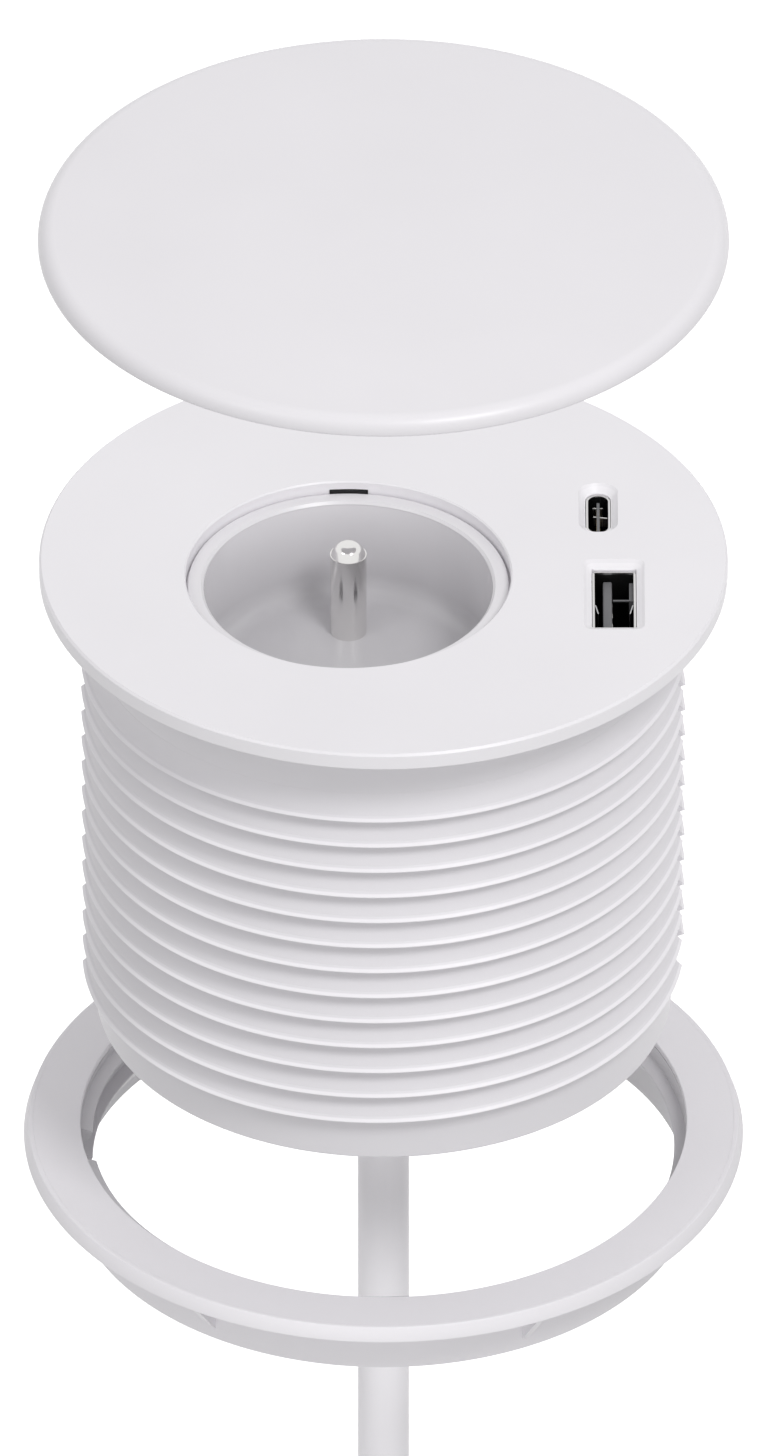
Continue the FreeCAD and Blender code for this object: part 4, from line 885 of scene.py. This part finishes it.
def make_nut():
    bm = bmesh.new()
    seat = NUT_TOP - NUT_SEAT_DEPTH
    under = NUT_TOP - NUT_FLANGE
    lathe(bm, [(NUT_BORE, seat), (NUT_SEAT_RADIUS, seat), (NUT_SEAT_RADIUS, NUT_TOP),
               (NUT_RIM_RADIUS, NUT_TOP), (NUT_RADIUS, NUT_TOP - 1.75), (NUT_RADIUS, under),
               (NUT_COLLAR_RADIUS, under), (NUT_COLLAR_RADIUS, NUT_BOTTOM), (NUT_BORE, NUT_BOTTOM)])
    rim = above(NUT_TOP - 0.1)
    soften(bm, 0.15, 3, 40.0,
           lambda edge: rim(edge) and edge.verts[0].co.xy.length > (NUT_SEAT_RADIUS + 0.25) * MM)
    soften(bm, 0.2, 2, 40.0, below(NUT_BOTTOM + 0.1))
    for start, sweep, turn in NUT_RIDGES:
        height = root_height(turn, start)
        climb(bm, [(NUT_BORE + 0.5, height + 0.6), (38.5, height - 0.15), (38.4, height - 0.3),
                   (38.6, height - 0.75), (NUT_BORE + 0.5, height - 3.7)], start, sweep, RIDGE_STEPS)
    for index in range(GUSSETS):
        verts = box(bm, (NUT_COLLAR_RADIUS - 0.3, -GUSSET_HALF_THICK, NUT_BOTTOM + 1.2),
                    (GUSSET_REACH, GUSSET_HALF_THICK, NUT_TOP - 1.9))
        for vert in verts:
            if vert.co.x > 45.0 * MM and vert.co.z < (NUT_TOP - 5.0) * MM:
                vert.co.z = (NUT_TOP - 2.2) * MM
        turn_to(bm, verts, GUSSET_BEARING + index * 360.0 / GUSSETS)
    bmesh.ops.recalc_face_normals(bm, faces=bm.faces)
    return mesh_object("clamp_nut_body", bm)


nut = finish_piece(make_nut(), nut_white, "nut", ["clamp_nut"])


def make_slip_ring():
    bm = bmesh.new()
    under = NUT_TOP - RING_THICK
    lathe(bm, [(RING_INNER_RADIUS, NUT_TOP), (RING_OUTER_RADIUS, NUT_TOP),
               (RING_OUTER_RADIUS, under), (RING_INNER_RADIUS, under)])
    soften(bm, 0.1, 1, 40.0, lambda edge: edge.verts[0].co.xy.length < (RING_INNER_RADIUS + 1.0) * MM)
    return mesh_object("slip_ring_top", bm)


finish_piece(make_slip_ring(), ring_white, "slip_ring", ["nut_slip_ring"])

# %% [markdown]
# ## Cord entry, coil tie and plug
# The strain relief is ribbed so that it bends evenly. The plug hangs from the coil's tail.

# %% Cord entry
GLAND_TOP = -67.0
RIB_SHARE = 0.62
RIB_DEPTH = 0.7
RELIEF_LENGTH = 28.0
PLUG_LENGTH = 36.0
PLUG_RADIUS = 18.3
PIN_LENGTH = 19.0
STRAP_WALL = 1.2
STRAP_GAP = 0.4


def ribbed(bm, top_radius, low_radius, top, low, ribs, x=0.0, y=0.0, inner=0.0):
    """A tapering sleeve with rounded ribs along it."""
    corners = [(inner, top)]
    for index in range(ribs):
        upper = top + (low - top) * index / ribs
        lower = top + (low - top) * (index + RIB_SHARE) / ribs
        following = top + (low - top) * (index + 1.0) / ribs
        radius = top_radius + (low_radius - top_radius) * index / ribs
        groove = radius - RIB_DEPTH
        corners += [(radius, upper), (radius, lower), (groove, lower), (groove, following)]
    corners.append((inner, low))
    lathe(bm, corners, 72, (x, y))
    soften(bm, 0.16, 2, 40.0)


def make_gland():
    bm = bmesh.new()
    ribbed(bm, 6.05, 4.6, GLAND_TOP, EXIT_HEIGHT, 7, inner=CORD_RADIUS)
    return mesh_object("cord_strain_relief", bm)


finish_piece(make_gland(), cord_white, "housing", ["cord_gland"])


def make_relief():
    x, y, z = PLUG_TOP
    bm = bmesh.new()
    ribbed(bm, 4.2, 6.0, z, z - RELIEF_LENGTH, 9, x, y)
    return mesh_object("plug_relief", bm)


relief = finish_piece(make_relief(), plug_white, "housing", ["plug_strain_relief"])


def make_plug():
    x, y, z = PLUG_TOP
    neck = z - RELIEF_LENGTH
    face = neck - PLUG_LENGTH
    bm = bmesh.new()
    lathe(bm, [(0.0, neck), (9.15, neck), (11.3, neck - 6.0), (17.5, neck - 15.0),
               (PLUG_RADIUS, neck - 17.0), (PLUG_RADIUS, face), (0.0, face)], 128, (x, y))
    soften(bm, 0.8, 4, 15.0)
    plug = mesh_object("plug_shell", bm)
    cutters = []
    for side in (-1.0, 1.0):
        near, far = sorted((y + side * 16.3, y + side * (PLUG_RADIUS + 2.0)))
        cutters.append(cutter(box, (x - 2.4, near, face - 1.0), (x + 2.4, far, face + 14.0)))
    cutters.append(cutter(bar, HOLE_RADIUS, face - 1.0, face + 17.0, x, y + EARTH_OFFSET))
    carve(plug, cutters)
    finish_piece(plug, plug_white, "housing", ["plug_body"])
    bm = bmesh.new()
    for side in (-1.0, 1.0):
        bar(bm, 2.4, face - PIN_LENGTH, face, x + side * PIN_SPACING * 0.5, y)
    soften(bm, 1.3, 4, 40.0, below(face - PIN_LENGTH + 0.1))
    pins = finish_piece(mesh_object("plug_contact_pins", bm), nickel, "housing", ["plug_pins"])
    bm = bmesh.new()
    for side in (-1.0, 1.0):
        near, far = sorted((y + side * 16.3, y + side * 17.5))
        box(bm, (x - 2.2, near, face + 0.4), (x + 2.2, far, face + 13.6))
    soften(bm, 0.3, 3)
    clips = finish_piece(mesh_object("plug_earth_strips", bm), nickel, "housing",
                         ["plug_earth_clips"])
    return plug, pins, clips


plug, pins, clips = make_plug()


def make_tie():
    """A closed strap with rounded corners round all the turns."""
    x, z = coil_centre()
    outer = coil_radius(0.0) + CORD_RADIUS + STRAP_GAP
    inner = coil_radius(COIL_TURNS * 0.5) - CORD_RADIUS - 1.0
    reach = CORD_RADIUS + STRAP_GAP
    bm = bmesh.new()
    box(bm, (x - outer - STRAP_WALL, -reach - STRAP_WALL, z - 4.0),
        (x - inner + STRAP_WALL, COIL_STEP + reach + STRAP_WALL, z + 4.0))
    round_corners(bm, 2.4, 6)
    strap = mesh_object("coil_strap", bm)

    def hollow(bm):
        box(bm, (x - outer, -reach, z - 6.0), (x - inner, COIL_STEP + reach, z + 6.0))
        round_corners(bm, 1.4, 6)

    carve(strap, [cutter(hollow)])
    return strap


tie = finish_piece(make_tie(), dark_plastic, "housing", ["coil_tie"])

cord.data.materials.append(cord_white)
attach(cord, "housing")
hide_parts("mains_cord", "cord_coil", "cord_tail")

# %% [markdown]
# ## Finishes of the machine parts that stay
# The parts inside the housing keep their own shapes and take node materials.

# %% Carried-over parts
KEPT = {
    "bottom_cap": housing_white, "shutter": insert_white,
    "contact_carrier": grey_plastic, "live_contact": brass, "neutral_contact": brass,
    "earth_strap": brass, "live_wire": wire_brown, "neutral_wire": wire_blue, "earth_wire": wire_green,
    "charger_board": board_green, "board_screws": steel, "transformer": dark_plastic,
    "capacitors": aluminium, "charger_leads": wire_blue, "cap_screws": steel, "cord_jacket": cord_white,
    "cord_clamp": grey_plastic, "clamp_screws": steel, "insert_screws": steel, "carrier_screws": steel,
}
for node, material in KEPT.items():
    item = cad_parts[node]
    for place in item.material_slots:
        place.material = material
print("kept parts:", len(KEPT))

# %% [markdown]
# ## Stage and light
# A pale floor lies below the hanging plug. The camera sees the surroundings as plain white, while
# the light that falls on the socket comes from a soft grey sky, a key lamp on the right and a weak
# side lamp on the left. A broad, low lamp in front lights the cord and the nut only, by way of
# light linking: its receivers are a collection of their own.

# %% Stage
FLOOR_HEIGHT = -0.374
FLOOR_HALF_SIZE = 12.0
FLOOR_TONE = 0.55
FLOOR_GLOW = 0.9
LAMP_DISTANCE = 1.6
SKY_LOW = 0.65
SKY_TOP = 0.75
SKY_TOP_FROM = (0.16, 0.38)
SKY_SIDE = 0.05
SKY_FRONT = 0.42
SKY_FLAGS = 0.5


def add_math(tree, operation, first, second):
    """One calculation between two numbers or sockets."""
    node = tree.nodes.new("ShaderNodeMath")
    node.operation = operation
    for socket, value in zip(node.inputs, (first, second)):
        if isinstance(value, float):
            socket.default_value = value
        else:
            tree.links.new(value, socket)
    return node.outputs["Value"]


def seen_or_mirrored(tree):
    """One for rays that come from the camera, or that glossy or clear surfaces send on."""
    path = tree.nodes.new("ShaderNodeLightPath")
    mirrored = add_math(tree, "MAXIMUM", path.outputs["Is Glossy Ray"],
                        path.outputs["Is Transmission Ray"])
    return add_math(tree, "MAXIMUM", path.outputs["Is Camera Ray"], mirrored)


def smooth_step(tree, value, span, levels):
    node = tree.nodes.new("ShaderNodeMapRange")
    node.interpolation_type = "SMOOTHSTEP"
    for name, number in zip(("From Min", "From Max", "To Min", "To Max"), span + levels):
        node.inputs[name].default_value = number
    tree.links.new(value, node.inputs["Value"])
    return node.outputs["Result"]


def make_floor():
    bm = bmesh.new()
    bmesh.ops.create_grid(bm, x_segments=1, y_segments=1, size=FLOOR_HALF_SIZE)
    bmesh.ops.translate(bm, verts=bm.verts, vec=(0.0, 0.0, FLOOR_HEIGHT))
    floor = mesh_object("floor", bm)
    material = bpy.data.materials.new("pale floor")
    material.use_nodes = True
    tree = material.node_tree
    tree.nodes.remove(tree.nodes["Principled BSDF"])
    end = tree.nodes["Material Output"]
    matte = tree.nodes.new("ShaderNodeBsdfDiffuse")
    matte.inputs["Color"].default_value = (FLOOR_TONE, FLOOR_TONE, FLOOR_TONE, 1.0)
    glow = tree.nodes.new("ShaderNodeEmission")
    glow.inputs["Color"].default_value = (1.0, 1.0, 1.0, 1.0)
    glare = add_math(tree, "MULTIPLY", seen_or_mirrored(tree), FLOOR_GLOW)
    tree.links.new(glare, glow.inputs["Strength"])
    both = tree.nodes.new("ShaderNodeAddShader")
    tree.links.new(matte.outputs["BSDF"], both.inputs[0])
    tree.links.new(glow.outputs["Emission"], both.inputs[1])
    tree.links.new(both.outputs["Shader"], end.inputs["Surface"])
    floor.data.materials.append(material)


def make_world():
    """An even sky that is brighter low in front, dimmer at both sides, and leans to the right."""
    world = bpy.data.worlds.new("studio")
    bpy.context.scene.world = world
    world.use_nodes = True
    tree = world.node_tree
    sky = tree.nodes["Background"]
    sky.inputs["Color"].default_value = (1.0, 1.0, 1.0, 1.0)
    place = tree.nodes.new("ShaderNodeTexCoord")
    parts = tree.nodes.new("ShaderNodeSeparateXYZ")
    tree.links.new(place.outputs["Generated"], parts.inputs["Vector"])
    high = smooth_step(tree, parts.outputs["Z"], SKY_TOP_FROM, (0.0, 1.0))
    front = add_math(tree, "MAXIMUM", add_math(tree, "MULTIPLY", parts.outputs["Y"], -SKY_FRONT), 0.0)
    low = add_math(tree, "ADD", front, SKY_LOW)
    beyond = add_math(tree, "MULTIPLY", add_math(tree, "SUBTRACT", SKY_TOP, low), high)
    sides = add_math(tree, "MULTIPLY", parts.outputs["X"], parts.outputs["X"])
    flags = add_math(tree, "SUBTRACT", 1.0, add_math(tree, "MULTIPLY", sides, SKY_FLAGS))
    lean = add_math(tree, "ADD", flags, add_math(tree, "MULTIPLY", parts.outputs["X"], SKY_SIDE))
    level = add_math(tree, "MULTIPLY", add_math(tree, "ADD", low, beyond), lean)
    mixed = tree.nodes.new("ShaderNodeMapRange")
    mixed.inputs["To Max"].default_value = 1.0
    tree.links.new(level, mixed.inputs["To Min"])
    tree.links.new(seen_or_mirrored(tree), mixed.inputs["Value"])
    tree.links.new(mixed.outputs["Result"], sky.inputs["Strength"])


def make_lamp(name, bearing, elevation, across, power):
    """A round lamp that shines at the origin from a bearing counted from the front."""
    data = bpy.data.lights.new(name, "AREA")
    data.shape = "DISK"
    data.size = across
    data.energy = power
    lamp = bpy.data.objects.new(name, data)
    bpy.context.scene.collection.objects.link(lamp)
    angle = math.radians(bearing - 90.0)
    lift = math.radians(elevation)
    flat = math.cos(lift)
    direction = Vector((math.cos(angle) * flat, math.sin(angle) * flat, math.sin(lift)))
    lamp.location = direction * LAMP_DISTANCE
    lamp.rotation_euler = direction.to_track_quat("Z", "Y").to_euler()
    return lamp


make_floor()
make_world()
make_lamp("key", bearing=32.0, elevation=50.0, across=0.5, power=8.3)
make_lamp("side", bearing=-50.0, elevation=46.0, across=0.5, power=1.5)
cord_light = make_lamp("cord fill", bearing=-14.0, elevation=4.0, across=0.9, power=4.0)
lit = bpy.data.collections.new("lit by the cord fill")
for piece in (cord, nut):
    lit.objects.link(piece)
cord_light.light_linking.receiver_collection = lit
bpy.context.scene.view_settings.view_transform = "Standard"
print("stage: one floor, one sky and", len(bpy.data.lights), "lamps")
